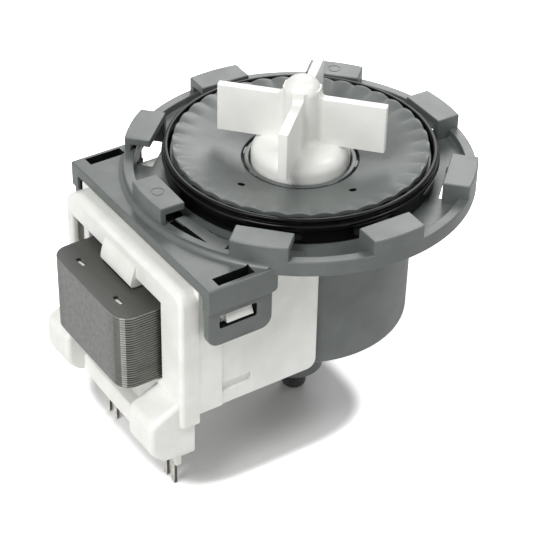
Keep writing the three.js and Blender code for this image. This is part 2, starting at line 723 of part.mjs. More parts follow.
function rearPlug() {
  const shoulder = BOSS_BOTTOM - FIT_GAP;
  const stemTop = BOSS_BOTTOM + PLUG_STEM_LENGTH;
  return revolve([
    [0, 0],
    ...arc([PLUG_RADIUS - PLUG_CORNER, PLUG_CORNER], PLUG_CORNER, 270, 360),
    [PLUG_RADIUS, shoulder],
    [PLUG_STEM_RADIUS, shoulder],
    [PLUG_STEM_RADIUS, stemTop],
    [0, stemTop],
  ], SMALL_FACETS);
}

// U-shaped stack of laminations with the pole faces cut round the rotor chamber.
function laminatedCore() {
  const outline = new THREE.Shape([
    new THREE.Vector2(POLE_END, -coreHalfWidth),
    new THREE.Vector2(POLE_END, -legInner),
    new THREE.Vector2(coreEndX + YOKE_WIDTH, -legInner),
    new THREE.Vector2(coreEndX + YOKE_WIDTH, legInner),
    new THREE.Vector2(POLE_END, legInner),
    new THREE.Vector2(POLE_END, coreHalfWidth),
    ...roundedYokeEnd(),
  ]);
  const poles = chamberOuter + POLE_GAP;
  const z = [coreBottom - CUT_MARGIN, coreTop + CUT_MARGIN];
  const notch = sector(poles - CUT_MARGIN, poles + START_NOTCH, 90, 90 + START_NOTCH_ANGLE, ...z);
  const round = cylinder(poles, ...z, LARGE_FACETS);
  return cut(slab(outline, coreBottom, coreTop), round, notch, turned(notch, 180), ...clinches());
}

function roundedYokeEnd() {
  const x = coreEndX + CORE_CORNER;
  const inset = coreHalfWidth - CORE_CORNER;
  const corners = [
    ...arc([x, inset], CORE_CORNER, 90, 180, 2 * CORNER_STEPS),
    ...arc([x, -inset], CORE_CORNER, 180, 270, 2 * CORNER_STEPS),
  ];
  return corners.map((corner) => new THREE.Vector2(...corner));
}

// Oval marks of the interlocks that hold the laminations together.
function clinches() {
  const x = coreEndX + CLINCH_INSET;
  return [-1, 1].map((side) => {
    const y = (side * CLINCH_SPACING) / 2;
    return box(
      [x - CLINCH_WIDTH / 2, x + CLINCH_WIDTH / 2],
      [y - CLINCH_LENGTH / 2, y + CLINCH_LENGTH / 2],
      [coreTop - CLINCH_DEPTH, coreTop + CUT_MARGIN],
    );
  });
}

// Rectangle of the YZ plane round a core leg, grown by a margin, as [y range, z range].
function aroundLeg(margin) {
  return [
    [legInner - margin, coreHalfWidth + margin],
    [coreBottom - margin, coreTop + margin],
  ];
}

// Bobbin on the +Y leg.
function bobbin() {
  const tube = box([bobbinStartX, bobbinEndX], ...aroundLeg(FIT_GAP + BOBBIN_WALL));
  const first = box([bobbinStartX, bobbinStartX + BOBBIN_FLANGE], ...aroundLeg(bobbinMargin));
  const last = box([bobbinEndX - BOBBIN_FLANGE, bobbinEndX], ...aroundLeg(bobbinMargin));
  const bore = box([bobbinStartX - CUT_MARGIN, bobbinEndX + CUT_MARGIN], ...aroundLeg(FIT_GAP));
  return unite(tube, first, last).subtract(bore);
}

// Winding on the +Y bobbin, with its corners rounded where the wire bends.
function coil() {
  const x = [bobbinStartX + BOBBIN_FLANGE + FIT_GAP, bobbinEndX - BOBBIN_FLANGE - FIT_GAP];
  const [y, z] = aroundLeg(FIT_GAP + BOBBIN_WALL + WINDING);
  const outline = [
    ...arc([y[1] - COIL_CORNER, z[1] - COIL_CORNER], COIL_CORNER, 0, 90),
    ...arc([y[0] + COIL_CORNER, z[1] - COIL_CORNER], COIL_CORNER, 90, 180),
    ...arc([y[0] + COIL_CORNER, z[0] + COIL_CORNER], COIL_CORNER, 180, 270),
    ...arc([y[1] - COIL_CORNER, z[0] + COIL_CORNER], COIL_CORNER, 270, 360),
  ];
  const bore = box([x[0] - CUT_MARGIN, x[1] + CUT_MARGIN], ...aroundLeg(FIT_GAP + BOBBIN_WALL + FIT_GAP));
  return endProfile(outline, ...x).subtract(bore);
}

// Main shell of the stator housing, open towards the cup.
function housingShell() {
  const corner = arc(
    [housingOpenX - HOUSING_CORNER, housingBottom + HOUSING_CORNER],
    HOUSING_CORNER,
    270,
    360,
  );
  const outline = [
    [housingEndX, housingBottom],
    ...corner,
    [housingOpenX, housingTop],
    [housingEndX, housingTop],
  ];
  const outside = sideProfile(outline, -housingHalfWidth, housingHalfWidth);
  const panelOuter = housingHalfWidth + PANEL_EXTRA;
  const panels = box(
    [housingEndX, housingEndX + PANEL_WIDTH],
    [-panelOuter, panelOuter],
    [housingBottom, housingTop],
  );
  return unite(outside, panels, endFrame());
}

function housingRoom() {
  const inner = housingHalfWidth - HOUSING_WALL;
  return box(
    [housingEndX + HOUSING_WALL, housingOpenX + CUT_MARGIN],
    [-inner, inner],
    [housingBottom + HOUSING_FLOOR, housingTop - HOUSING_WALL],
  );
}

// End frame with its two pillars, and the rounded shoulder on the far side.
function endFrame() {
  const outer = pillarOuter;
  const outline = [
    [-outer, housingBottom - PILLAR_DROP],
    [outer, housingBottom - PILLAR_DROP],
    ...arc([outer - SHOULDER_RADIUS, housingTop - SHOULDER_RADIUS], SHOULDER_RADIUS, 0, 90),
    [-outer, housingTop],
  ];
  return endProfile(outline, housingEndX, housingEndX + PILLAR_WIDTH);
}

function shoulderCut() {
  const outer = pillarOuter;
  const centre = [outer - SHOULDER_RADIUS, housingTop - SHOULDER_RADIUS];
  const outline = [
    ...arc(centre, SHOULDER_RADIUS, 90, 0),
    [outer + CUT_MARGIN, housingTop - SHOULDER_RADIUS],
    [outer + CUT_MARGIN, housingTop + CUT_MARGIN],
    [outer - SHOULDER_RADIUS, housingTop + CUT_MARGIN],
  ];
  return endProfile(outline, housingEndX - CUT_MARGIN, housingEndX + PILLAR_WIDTH);
}

// Opening for the core in the end face.
function yokeOpening() {
  return box(
    [housingEndX - CUT_MARGIN, housingEndX + HOUSING_WALL + CUT_MARGIN],
    [-coreHalfWidth - OPENING_NEAR_GAP, coreHalfWidth + OPENING_FAR_GAP],
    [coreBottom - OPENING_BOTTOM_GAP, coreTop + OPENING_TOP_GAP],
  );
}

// Rib beside the core's far side, set back in the opening.
function openingRib() {
  const near = coreHalfWidth + 2 * FIT_GAP;
  return box(
    [housingEndX + RIB_RECESS, housingEndX + RIB_RECESS + HOUSING_WALL],
    [near, near + RIB_WIDTH],
    [coreBottom - OPENING_BOTTOM_GAP - CUT_MARGIN, coreTop + OPENING_TOP_GAP + CUT_MARGIN],
  );
}

function openingTooth() {
  return box(
    [housingEndX - TOOTH_DEPTH, housingEndX + HOUSING_WALL],
    [-TOOTH_NEAR, TOOTH_FAR],
    [coreTop + TOOTH_GAP, housingTop],
  );
}

function barNotch() {
  return box(
    [housingEndX - TOOTH_DEPTH - CUT_MARGIN, housingEndX + PILLAR_WIDTH],
    [-NOTCH_OFFSET - NOTCH_WIDTH / 2, -NOTCH_OFFSET + NOTCH_WIDTH / 2],
    [housingTop - NOTCH_DEPTH, housingTop + CUT_MARGIN],
  );
}

// Slot above a ledge, low on the -Y side.
function ledgeSlot() {
  return box(
    [ledgeX, ledgeX + LEDGE_LENGTH],
    [-housingHalfWidth - PANEL_EXTRA - CUT_MARGIN, -housingHalfWidth + LEDGE_DEPTH],
    [housingBottom + LEDGE_RISE, housingBottom + LEDGE_RISE + LEDGE_HEIGHT],
  );
}

// Snap on the -Y side that catches in the clip arm's window. The arm slides over its sloping outer face.
function snap() {
  const outer = armLowerOuter - SNAP_INSET;
  const root = housingHalfWidth - HOUSING_WALL / 2;
  const z0 = clipWindowBottom + FIT_GAP;
  return endProfile([
    [-root, z0],
    [-root, z0 + SNAP_HEIGHT],
    [-outer + SNAP_SLOPE, z0 + SNAP_HEIGHT],
    [-outer, z0],
  ], snapX, snapX + SNAP_LENGTH);
}

// Connector block under the housing, with the front bar between the feet.
function connectorBlock() {
  const top = housingBottom + HOUSING_FLOOR / 2;
  const wide = box(
    [housingEndX, housingEndX + BLOCK_THICKNESS],
    [-blockHalfWidth, blockHalfWidth],
    [blockBottom, top],
  );
  const thick = box(
    [housingEndX, housingEndX + BLOCK_MIDDLE_THICKNESS],
    [-blockHalfWidth + BLOCK_MIDDLE_INSET, blockHalfWidth - BLOCK_MIDDLE_INSET],
    [blockBottom, top],
  );
  const bar = box(
    [housingEndX - BAR_REACH, housingEndX],
    [-footInner, footInner],
    [blockBottom, blockBottom + BAR_HEIGHT],
  );
  return unite(wide, thick, bar);
}

// Foot at the -Y end of the connector block.
function foot() {
  const front = housingEndX - FOOT_REACH;
  return sideProfile([
    [housingEndX + HOUSING_WALL, blockBottom],
    [housingEndX + HOUSING_WALL, housingBottom + FOOT_TOP_BACK],
    [housingEndX, housingBottom + FOOT_TOP_BACK],
    [front, housingBottom + FOOT_TOP_FRONT],
    [front, blockBottom + FOOT_CHAMFER],
    [front + FOOT_CHAMFER, blockBottom],
  ], -blockHalfWidth, -footInner);
}

// Slot that holds the terminal on the +Y side.
function terminalSlot() {
  const half = TERMINAL_WIDTH / 2 + FIT_GAP;
  const middle = TERMINAL_SPACING / 2;
  const thick = TERMINAL_THICKNESS / 2 + FIT_GAP;
  return box(
    [terminalX - thick, terminalX + thick],
    [middle - half, middle + half],
    [blockBottom - CUT_MARGIN, housingBottom + HOUSING_FLOOR + CUT_MARGIN],
  );
}

// Guide post beside the terminal on the -Y side, which keys the plug.
function guidePost() {
  const inner = TERMINAL_SPACING / 2 + TERMINAL_WIDTH / 2 + FIT_GAP;
  return box(
    [terminalX - POST_DEPTH / 2, terminalX + POST_DEPTH / 2],
    [-inner - POST_WIDTH, -inner],
    [blockBottom - POST_LENGTH, blockBottom + CUT_MARGIN],
  );
}

function statorHousing() {
  const hollow = cut(housingShell(), housingRoom(), yokeOpening(), shoulderCut());
  const whole = unite(hollow, openingRib(), openingTooth(), snap(), mirroredY(snap()));
  const stand = unite(connectorBlock(), foot(), mirroredY(foot()), guidePost(), mirroredY(guidePost()));
  const slots = [ledgeSlot(), mirroredY(ledgeSlot()), terminalSlot(), mirroredY(terminalSlot())];
  return cut(whole.add(stand), barNotch(), ...slots);
}

// Terminal on the +Y side: a blade that ends in two round-tipped prongs.
function terminal() {
  const middle = TERMINAL_SPACING / 2;
  const half = TERMINAL_WIDTH / 2;
  const tip = PRONG_WIDTH / 2;
  const tipZ = terminalBottom + tip;
  const slotHalf = half - PRONG_WIDTH;
  const outline = [
    [middle + half, terminalTop],
    [middle - half, terminalTop],
    ...arc([middle - half + tip, tipZ], tip, 180, 360, 2 * CORNER_STEPS),
    ...arc([middle, terminalBottom + PRONG_LENGTH - slotHalf], slotHalf, 180, 0, 2 * CORNER_STEPS),
    ...arc([middle + half - tip, tipZ], tip, 180, 360, 2 * CORNER_STEPS),
  ];
  const x = [terminalX - TERMINAL_THICKNESS / 2, terminalX + TERMINAL_THICKNESS / 2];
  return endProfile(outline, ...x);
}

// Wire from the +Y terminal's upper corner to its coil.
function leadWire() {
  const start = TERMINAL_SPACING / 2 + TERMINAL_WIDTH / 2 + FIT_GAP + LEAD_RADIUS;
  const x = terminalX;
  const z = terminalTop - 2 * LEAD_RADIUS;
  const y = start + LEAD_REACH;
  return wire([
    new THREE.Vector3(x, start, z),
    new THREE.Vector3(x, y, z + LEAD_REACH / 2),
    new THREE.Vector3(x, y, z + LEAD_RISE - LEAD_REACH),
    new THREE.Vector3(bobbinStartX - FIT_GAP, y, z + LEAD_RISE),
  ], LEAD_RADIUS);
}

// Thermal fuse that lies across the two legs of the core.
function fusePlace() {
  const x = bobbinStartX - BOBBIN_START_GAP / 2;
  return new THREE.Vector3(x, 0, coreTop + FUSE_RISE);
}

function thermalFuse() {
  const place = fusePlace();
  const geometry = new THREE.CylinderGeometry(FUSE_RADIUS, FUSE_RADIUS, FUSE_LENGTH, SMALL_FACETS);
  geometry.translate(place.x, place.y, place.z);
  return solid(geometry);
}

// Lead from the fuse's +Y end to that side's coil.
function linkLead() {
  const { x, z } = fusePlace();
  const start = FUSE_LENGTH / 2 + FIT_GAP;
  return wire([
    new THREE.Vector3(x, start, z),
    new THREE.Vector3(x, start + LINK_REACH / 2, z),
    new THREE.Vector3(bobbinStartX - FIT_GAP, start + LINK_REACH, z - LINK_DROP),
  ], LEAD_RADIUS);
}

// Height of the cover disc's cone at a radius.
const discTop = (radius) => discRimTop - (discRadius - radius) * discSlope;

function coverDisc() {
  return cut(discHub().add(discPlate()), ...discHoles());
}

// Hub of the cover disc: the seat of the hair guard, the well, and the tube that closes the rotor chamber.
function discHub() {
  const seatOuter = WELL_RADIUS + GUARD_SEAT_WIDTH;
  const seatZ = discHubTop - GUARD_SEAT_DEPTH;
  const hubTop = discHubTop - DISC_THICKNESS / 2;
  const tubeOuter = CHAMBER_RADIUS - FIT_GAP;
  const grooveZ = deckTop - O_RING_DROP;
  const grooveHalf = O_RING_RADIUS + FIT_GAP;
  const grooveInner = tubeOuter - 2 * O_RING_RADIUS - FIT_GAP / 2;
  return revolve([
    [seatOuter, hubTop],
    [seatOuter, seatZ],
    [WELL_RADIUS, seatZ],
    [WELL_RADIUS, wellFloorTop],
    [BEARING_POCKET_RADIUS, wellFloorTop],
    [BEARING_POCKET_RADIUS, sealPocketBottom],
    [SHAFT_WEB_HOLE, sealPocketBottom],
    [SHAFT_WEB_HOLE, bearingPocketTop],
    [BEARING_POCKET_RADIUS, bearingPocketTop],
    [BEARING_POCKET_RADIUS, plugTubeBottom],
    [tubeOuter, plugTubeBottom],
    [tubeOuter, grooveZ - grooveHalf],
    [grooveInner, grooveZ - grooveHalf],
    [grooveInner, grooveZ + grooveHalf],
    [tubeOuter, grooveZ + grooveHalf],
    [tubeOuter, wellFloorBottom],
    [seatOuter + DISC_THICKNESS, wellFloorBottom],
    [seatOuter + DISC_THICKNESS, hubTop],
  ], MEDIUM_FACETS);
}

// Conical plate of the cover disc. Its rim rises and falls in waves, and a skirt under it enters the spigot.
function discPlate() {
  const inner = WELL_RADIUS + GUARD_SEAT_WIDTH + FIT_GAP / 2;
  const skirtOuter = spigotInner - FIT_GAP;
  const skirtInner = skirtOuter - SKIRT_WALL;
  const skirtBottom = discTop(skirtOuter) - DISC_THICKNESS / 2 - SKIRT_DEPTH;
  const outlineAt = (angle) => {
    const lift = -WAVE_HEIGHT * Math.cos(WAVE_COUNT * angle);
    const share = (radius) => (radius - waveStart) / (discRadius - waveStart);
    const top = (radius) => discTop(radius) + lift * share(radius);
    return [
      [inner, discTop(inner)],
      [waveStart, discTop(waveStart)],
      [discRadius, top(discRadius)],
      [discRadius, top(discRadius) - DISC_THICKNESS],
      [skirtOuter, top(skirtOuter) - DISC_THICKNESS],
      [skirtOuter, skirtBottom],
      [skirtInner, skirtBottom],
      [skirtInner, top(skirtInner) - DISC_THICKNESS],
      [inner, discTop(inner) - DISC_THICKNESS],
    ];
  };
  return revolveVarying(outlineAt, WAVE_COUNT * WAVE_STEPS);
}

function discHoles() {
  return DISC_HOLE_ANGLES.map((angle) => {
    const at = onCircle(DISC_HOLE_CIRCLE, degrees(angle));
    const top = discTop(DISC_HOLE_CIRCLE);
    const drill = cylinder(DISC_HOLE_RADIUS, top - 2 * DISC_THICKNESS, top + CUT_MARGIN, HOLE_FACETS);
    return drill.translate([at.x, at.y, 0]);
  });
}

// Ring in the disc's hub that keeps hair and thread off the shaft, with its snap tabs.
function hairGuard() {
  const inner = WELL_RADIUS + FIT_GAP / 2;
  const z = [discHubTop - GUARD_SEAT_DEPTH + FIT_GAP, discHubTop];
  const outer = inner + GUARD_WIDTH;
  const tabs = Array.from({ length: GUARD_TABS }, (_, i) => {
    const middle = (360 / GUARD_TABS) * i;
    const half = GUARD_TAB_ANGLE / 2;
    return sector(inner + GUARD_WIDTH / 2, outer + GUARD_TAB_REACH, middle - half, middle + half, ...z);
  });
  return unite(ring(inner, outer, ...z, MEDIUM_FACETS), ...tabs);
}

// Lip gasket round the spigot, with two round ridges.
function flangeGasket() {
  const inner = SPIGOT_RADIUS + FIT_GAP;
  const outer = inner + GASKET_WALL;
  const top = spigotTop + GASKET_TOP_GAP;
  const upper = [outer - GASKET_LIP / 2, top - GASKET_LIP];
  const lower = [outer + GASKET_LIP / 2, upper[1] - GASKET_LIP_SPACING];
  return revolve([
    [inner, floorTop + FIT_GAP],
    [outer, floorTop + FIT_GAP],
    [outer, lower[1] - GASKET_LIP],
    ...arc(lower, GASKET_LIP, LIP_START_ANGLE, 90, LIP_STEPS),
    ...arc(upper, GASKET_LIP, LIP_START_ANGLE, 90, LIP_STEPS),
    [inner, top],
  ], LARGE_FACETS);
}

function chamberORing() {
  const outer = CHAMBER_RADIUS - FIT_GAP / 2;
  const section = arc([outer - O_RING_RADIUS, deckTop - O_RING_DROP], O_RING_RADIUS, 0, 360, O_RING_SIDES);
  return revolve(section.slice(1), MEDIUM_FACETS);
}

// Lip seal in the pocket above the front bearing.
function shaftSeal() {
  const outer = BEARING_POCKET_RADIUS - FIT_GAP;
  const bottom = sealPocketBottom + FIT_GAP;
  const top = wellFloorTop - FIT_GAP;
  return revolve([
    [outer, bottom],
    [outer, top],
    [outer - SEAL_WALL, top],
    [outer - SEAL_WALL, bottom + SEAL_WALL],
    [bushInner + SEAL_LIP + SEAL_WALL, bottom + SEAL_WALL],
    [bushInner + SEAL_LIP, top],
    [bushInner, top],
    [bushInner + SEAL_LIP, bottom],
  ], SMALL_FACETS);
}

const rearBearingBottom = chamberFloor - REAR_POCKET_DEPTH + FIT_GAP;
const rearBearingTop = chamberFloor - WASHER_THICKNESS;
const frontBearingTop = bearingPocketTop - FIT_GAP;
const frontBearingBottom = plugTubeBottom + FIT_GAP;

const bush = (z0, z1) => ring(bushInner, bushOuter, z0, z1);
const bushHolder = (radius, z0, z1) => ring(bushOuter + FIT_GAP / 2, radius - FIT_GAP, z0, z1);
const frontBushHolder = () => bushHolder(BEARING_POCKET_RADIUS, frontBearingBottom, frontBearingTop);
const rearBushHolder = () => bushHolder(REAR_POCKET_RADIUS, rearBearingBottom, rearBearingTop);
const magnet = () => ring(SLEEVE_RADIUS + FIT_PLAY, magnetRadius, magnetBottom, magnetTop, MEDIUM_FACETS);
const washer = (z0) => ring(fixedBore, WASHER_RADIUS, z0, z0 + WASHER_THICKNESS);

// Plastic sleeve between shaft and magnet, with a flange under the magnet.
function rotorSleeve() {
  const bottom = magnetBottom - FIT_GAP - SLEEVE_FLANGE;
  return revolve([
    [fixedBore, bottom],
    [SLEEVE_FLANGE_RADIUS, bottom],
    [SLEEVE_FLANGE_RADIUS, magnetBottom - FIT_GAP],
    [SLEEVE_RADIUS, magnetBottom - FIT_GAP],
    [SLEEVE_RADIUS, magnetTop],
    [fixedBore, magnetTop],
  ], SMALL_FACETS);
}

// Dog on the shaft inside the impeller. It points to +X at rest.
function driveDog() {
  const z = [driveBottom + DRIVE_GAP, driveTop - DRIVE_GAP];
  const half = DOG_ANGLE / 2;
  const arm = sector(fixedBore + FIT_GAP, driveRadius - DRIVE_GAP, -half, half, ...z);
  return ring(fixedBore, DRIVE_HUB_RADIUS, ...z).add(arm);
}

// Rubber buffer on the lug face at the given angle. side is 1 past the lug's end, -1 before its start.
function bufferPad(face, side) {
  const near = face + side * BUFFER_GAP_ANGLE;
  const [from, to] = [near, near + side * BUFFER_ANGLE].sort((a, b) => a - b);
  const z = [driveBottom + DRIVE_GAP, driveTop - DRIVE_GAP];
  return sector(DRIVE_HUB_RADIUS + 2 * DRIVE_GAP, driveRadius - DRIVE_GAP, from, to, ...z);
}

// Blade that points to +X.
function blade(radius) {
  const half = BLADE_THICKNESS / 2;
  return box([0, radius], [-half, half], [bladeBottom, bladeTop]);
}

function impellerHub() {
  const domeBottom = neckTop - DOME_HEIGHT;
  const dome = arc([0, 0], 1, 0, 90).map(([x, z]) => [x * NECK_RADIUS, domeBottom + z * DOME_HEIGHT]);
  dome[dome.length - 1][0] = 0;
  const shoulder = arc([bowlRadius - BOWL_CORNER, bladeBottom - BOWL_CORNER], BOWL_CORNER, 0, 90);
  return revolve([
    [0, bowlBottom],
    [bowlRadius, bowlBottom],
    ...shoulder,
    [NECK_RADIUS + BOWL_SKIN, bladeBottom + BOWL_SKIN / 2],
    [NECK_RADIUS, bladeBottom + 2 * BOWL_SKIN],
    ...dome,
  ], MEDIUM_FACETS);
}

// Room inside the impeller for the dog: a round chamber with the lug left standing, open below.
function driveRoom() {
  const z = [driveBottom, driveTop];
  const half = LUG_ANGLE / 2;
  const room = sector(DRIVE_HUB_RADIUS, driveRadius, -180 + half, 180 - half, ...z);
  const hubRoom = cylinder(DRIVE_HUB_RADIUS + DRIVE_GAP, ...z);
  const below = bowlBottom - CUT_MARGIN;
  const capSeat = cylinder(bowlRadius - BOWL_SKIN, below, driveBottom, MEDIUM_FACETS);
  const bore = cylinder(SHAFT_RADIUS + FIT_GAP, below, shaftTop + FIT_GAP);
  return unite(room, hubRoom, capSeat, bore);
}

function impeller() {
  const radii = [LONG_BLADE, SHORT_BLADE, LONG_BLADE, SHORT_BLADE];
  const blades = radii.map((radius, i) => turned(blade(radius), BLADE_PHASE + (360 / radii.length) * i));
  return unite(impellerHub(), ...blades).subtract(driveRoom());
}

function impellerCap() {
  const outer = bowlRadius - BOWL_SKIN - FIT_GAP;
  return ring(SHAFT_RADIUS + FIT_GAP, outer, bowlBottom, bowlBottom + CAP_THICKNESS, MEDIUM_FACETS);
}

// Adds a piece of the +Y side and its mirror image on the -Y side.
function pieceOnBothSides(name, shape, look) {
  piece(`${name}_far`, shape, look);
  piece(`${name}_near`, mirroredY(shape), look);
}

piece("pump_body", pumpBody(), greyPlastic);
piece("rear_plug", rearPlug(), blackRubber);
piece("stator_housing", statorHousing(), whitePlastic);
piece("laminated_core", laminatedCore(), coreSteel);
pieceOnBothSides("bobbin", bobbin(), naturalNylon);
pieceOnBothSides("coil", coil(), copper);
pieceOnBothSides("terminal", terminal(), tin);
pieceOnBothSides("lead_wire", leadWire(), copper);
piece("thermal_fuse", thermalFuse(), fuseCase);
pieceOnBothSides("link_lead", linkLead(), copper);
piece("cover_disc", coverDisc(), greyPlastic);
piece("hair_guard_ring", hairGuard(), greyPlastic);
piece("flange_gasket", flangeGasket(), blackRubber);
piece("chamber_o_ring", chamberORing(), blackRubber);
piece("shaft_seal", shaftSeal(), blackRubber);
piece("front_bearing", bush(frontBearingBottom, frontBearingTop), graphite);
piece("front_bearing_holder", frontBushHolder(), blackRubber);
piece("rear_bearing", bush(rearBearingBottom, rearBearingTop), graphite);
piece("rear_bearing_holder", rearBushHolder(), blackRubber);
piece("rotor_shaft", cylinder(SHAFT_RADIUS, shaftWellFloor + SHAFT_END_ROOM, shaftTop), shaftSteel);
piece("rotor_magnet", magnet(), ferrite);
piece("rotor_sleeve", rotorSleeve(), naturalNylon);
piece("front_thrust_washer", washer(magnetTop + FIT_GAP), tin);
piece("rear_thrust_washer", washer(rearBearingTop + FIT_GAP), tin);
piece("drive_dog", driveDog(), naturalNylon);
piece("impeller", impeller(), whitePlastic);
piece("impeller_cap", impellerCap(), whitePlastic);
piece("buffer_pad_left", bufferPad(180 - LUG_ANGLE / 2, -1), blackRubber);
piece("buffer_pad_right", bufferPad(-180 + LUG_ANGLE / 2, 1), blackRubber);

export default pump;
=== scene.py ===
"""Looks of a washing machine's drain pump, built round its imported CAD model.

Sizes are in millimetres in the code and in metres in the scene. The rotor's axis is
the Z axis, the laminated core's end points to -X, and the pump stands on Z = 0.
"""

from __future__ import annotations

import json
import logging
import math
from dataclasses import dataclass
from enum import Enum
from typing import Callable, Sequence

import bmesh
import bpy
from mathutils import Matrix, Vector

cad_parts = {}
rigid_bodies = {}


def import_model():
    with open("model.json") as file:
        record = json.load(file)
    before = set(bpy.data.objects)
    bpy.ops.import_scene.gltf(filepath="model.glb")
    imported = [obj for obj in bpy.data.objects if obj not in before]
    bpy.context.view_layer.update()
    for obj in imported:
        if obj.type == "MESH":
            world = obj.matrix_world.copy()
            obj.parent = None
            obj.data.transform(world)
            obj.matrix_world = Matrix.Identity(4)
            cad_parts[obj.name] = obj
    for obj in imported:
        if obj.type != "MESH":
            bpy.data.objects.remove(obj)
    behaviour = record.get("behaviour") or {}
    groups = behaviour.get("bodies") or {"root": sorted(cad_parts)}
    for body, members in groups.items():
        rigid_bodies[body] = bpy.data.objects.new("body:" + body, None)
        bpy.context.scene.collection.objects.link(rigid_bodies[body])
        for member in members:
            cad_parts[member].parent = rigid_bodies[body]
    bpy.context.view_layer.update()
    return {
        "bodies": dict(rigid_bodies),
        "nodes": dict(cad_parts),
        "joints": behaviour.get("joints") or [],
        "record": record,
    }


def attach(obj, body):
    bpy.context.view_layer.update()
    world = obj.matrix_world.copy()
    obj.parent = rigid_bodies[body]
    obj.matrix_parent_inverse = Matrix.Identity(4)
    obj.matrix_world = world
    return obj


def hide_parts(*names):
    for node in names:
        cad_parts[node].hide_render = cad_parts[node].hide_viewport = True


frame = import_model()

LOG = logging.getLogger("drain_pump")
MM = 0.001
FULL_TURN = 360.0
FINE_STEPS = 192
SMALL_STEPS = 96
CORNER_STEPS = 4
ON_AXIS = 1e-6
WELD = 1e-4
ON_PLANE = 0.01
SAME_PLANE = 0.2  # degrees between faces that count as one plane
ALONG = 0.9  # share of a direction that counts as along an axis
FLAT = 0.99
MARGIN = 0.1
HEIGHTS = (60, 80)  # more than the flange's whole height
JOINT_FADE = (0.3, 0.75)  # part of a sheet's height over which the dark joint at its foot fades
TONE_SHARE = 0.45  # how far a sheet's own tone may go towards the joint's
PATCH_EDGES = (0.35, 0.65)  # noise values between which one colour turns into the other
SCATTER = (1.0, 0.95, 0.85)  # how far red, green and blue go below a pale surface
SCATTER_DEPTH = 1.5

Span = tuple[float, float]
Box = tuple[Span, Span, Span]
Corner = tuple[float, ...]
Outline = Sequence[Corner]
Where = Callable[[Vector, Vector], bool]


class Axis(Enum):
    """Direction in which a flat outline is extruded. Each gives (u, v, w) a place in space."""

    X = Matrix(((0, 0, 1, 0), (1, 0, 0, 0), (0, 1, 0, 0), (0, 0, 0, 1)))
    Y = Matrix(((1, 0, 0, 0), (0, 0, 1, 0), (0, 1, 0, 0), (0, 0, 0, 1)))
    Z = Matrix(((1, 0, 0, 0), (0, 1, 0, 0), (0, 0, 1, 0), (0, 0, 0, 1)))


class Join(Enum):
    """How one shape is joined to others."""

    ADD = "UNION"
    CUT = "DIFFERENCE"
    KEEP = "INTERSECT"


class Body(Enum):
    """Moving bodies of the CAD model."""

    HOUSING = "housing"
    ROTOR = "rotor"
    IMPELLER = "impeller"


def on_circle(radius: float, angle: float) -> tuple[float, float]:
    """Gives a point of a circle about the rotor's axis; the angle is in degrees."""
    turn = math.radians(angle)
    return radius * math.cos(turn), radius * math.sin(turn)


def direction(azimuth: float, elevation: float) -> Vector:
    """Gives a direction away from the pump, in degrees; azimuth 0 is towards -Y and 90 towards +X."""
    turn, rise = math.radians(azimuth), math.radians(elevation)
    return Vector((math.sin(turn) * math.cos(rise), -math.cos(turn) * math.cos(rise), math.sin(rise)))


def linked(name: str, data: bpy.types.ID) -> bpy.types.Object:
    """Makes an object of the scene from its mesh, lamp or camera."""
    made = bpy.data.objects.new(name, data)
    bpy.context.scene.collection.objects.link(made)
    return made


def empty_tree(owner: bpy.types.ID) -> bpy.types.NodeTree:
    """Gives a material or a world a node tree with nothing in it."""
    owner.use_nodes = True
    owner.node_tree.nodes.clear()
    return owner.node_tree


def flat_face(outline: Outline, steps: int) -> bmesh.types.BMesh:
    """Makes a flat face whose corners are rounded where they give a radius.

    Args:
        outline: Corners as (u, v) or (u, v, radius).
        steps: Segments of each rounded corner.

    Returns:
        A mesh with the one face, in the plane w = 0.
    """
    shape = bmesh.new()
    verts = [shape.verts.new((corner[0], corner[1], 0.0)) for corner in outline]
    shape.faces.new(verts)
    rounded = [(vert, corner[2]) for vert, corner in zip(verts, outline) if len(corner) > 2]
    for radius in sorted({radius for _, radius in rounded}):
        bmesh.ops.bevel(
            shape, geom=[vert for vert, own in rounded if own == radius], offset=radius,
            offset_type="OFFSET", segments=steps, profile=0.5, affect="VERTICES", material=-1,
        )
    return shape


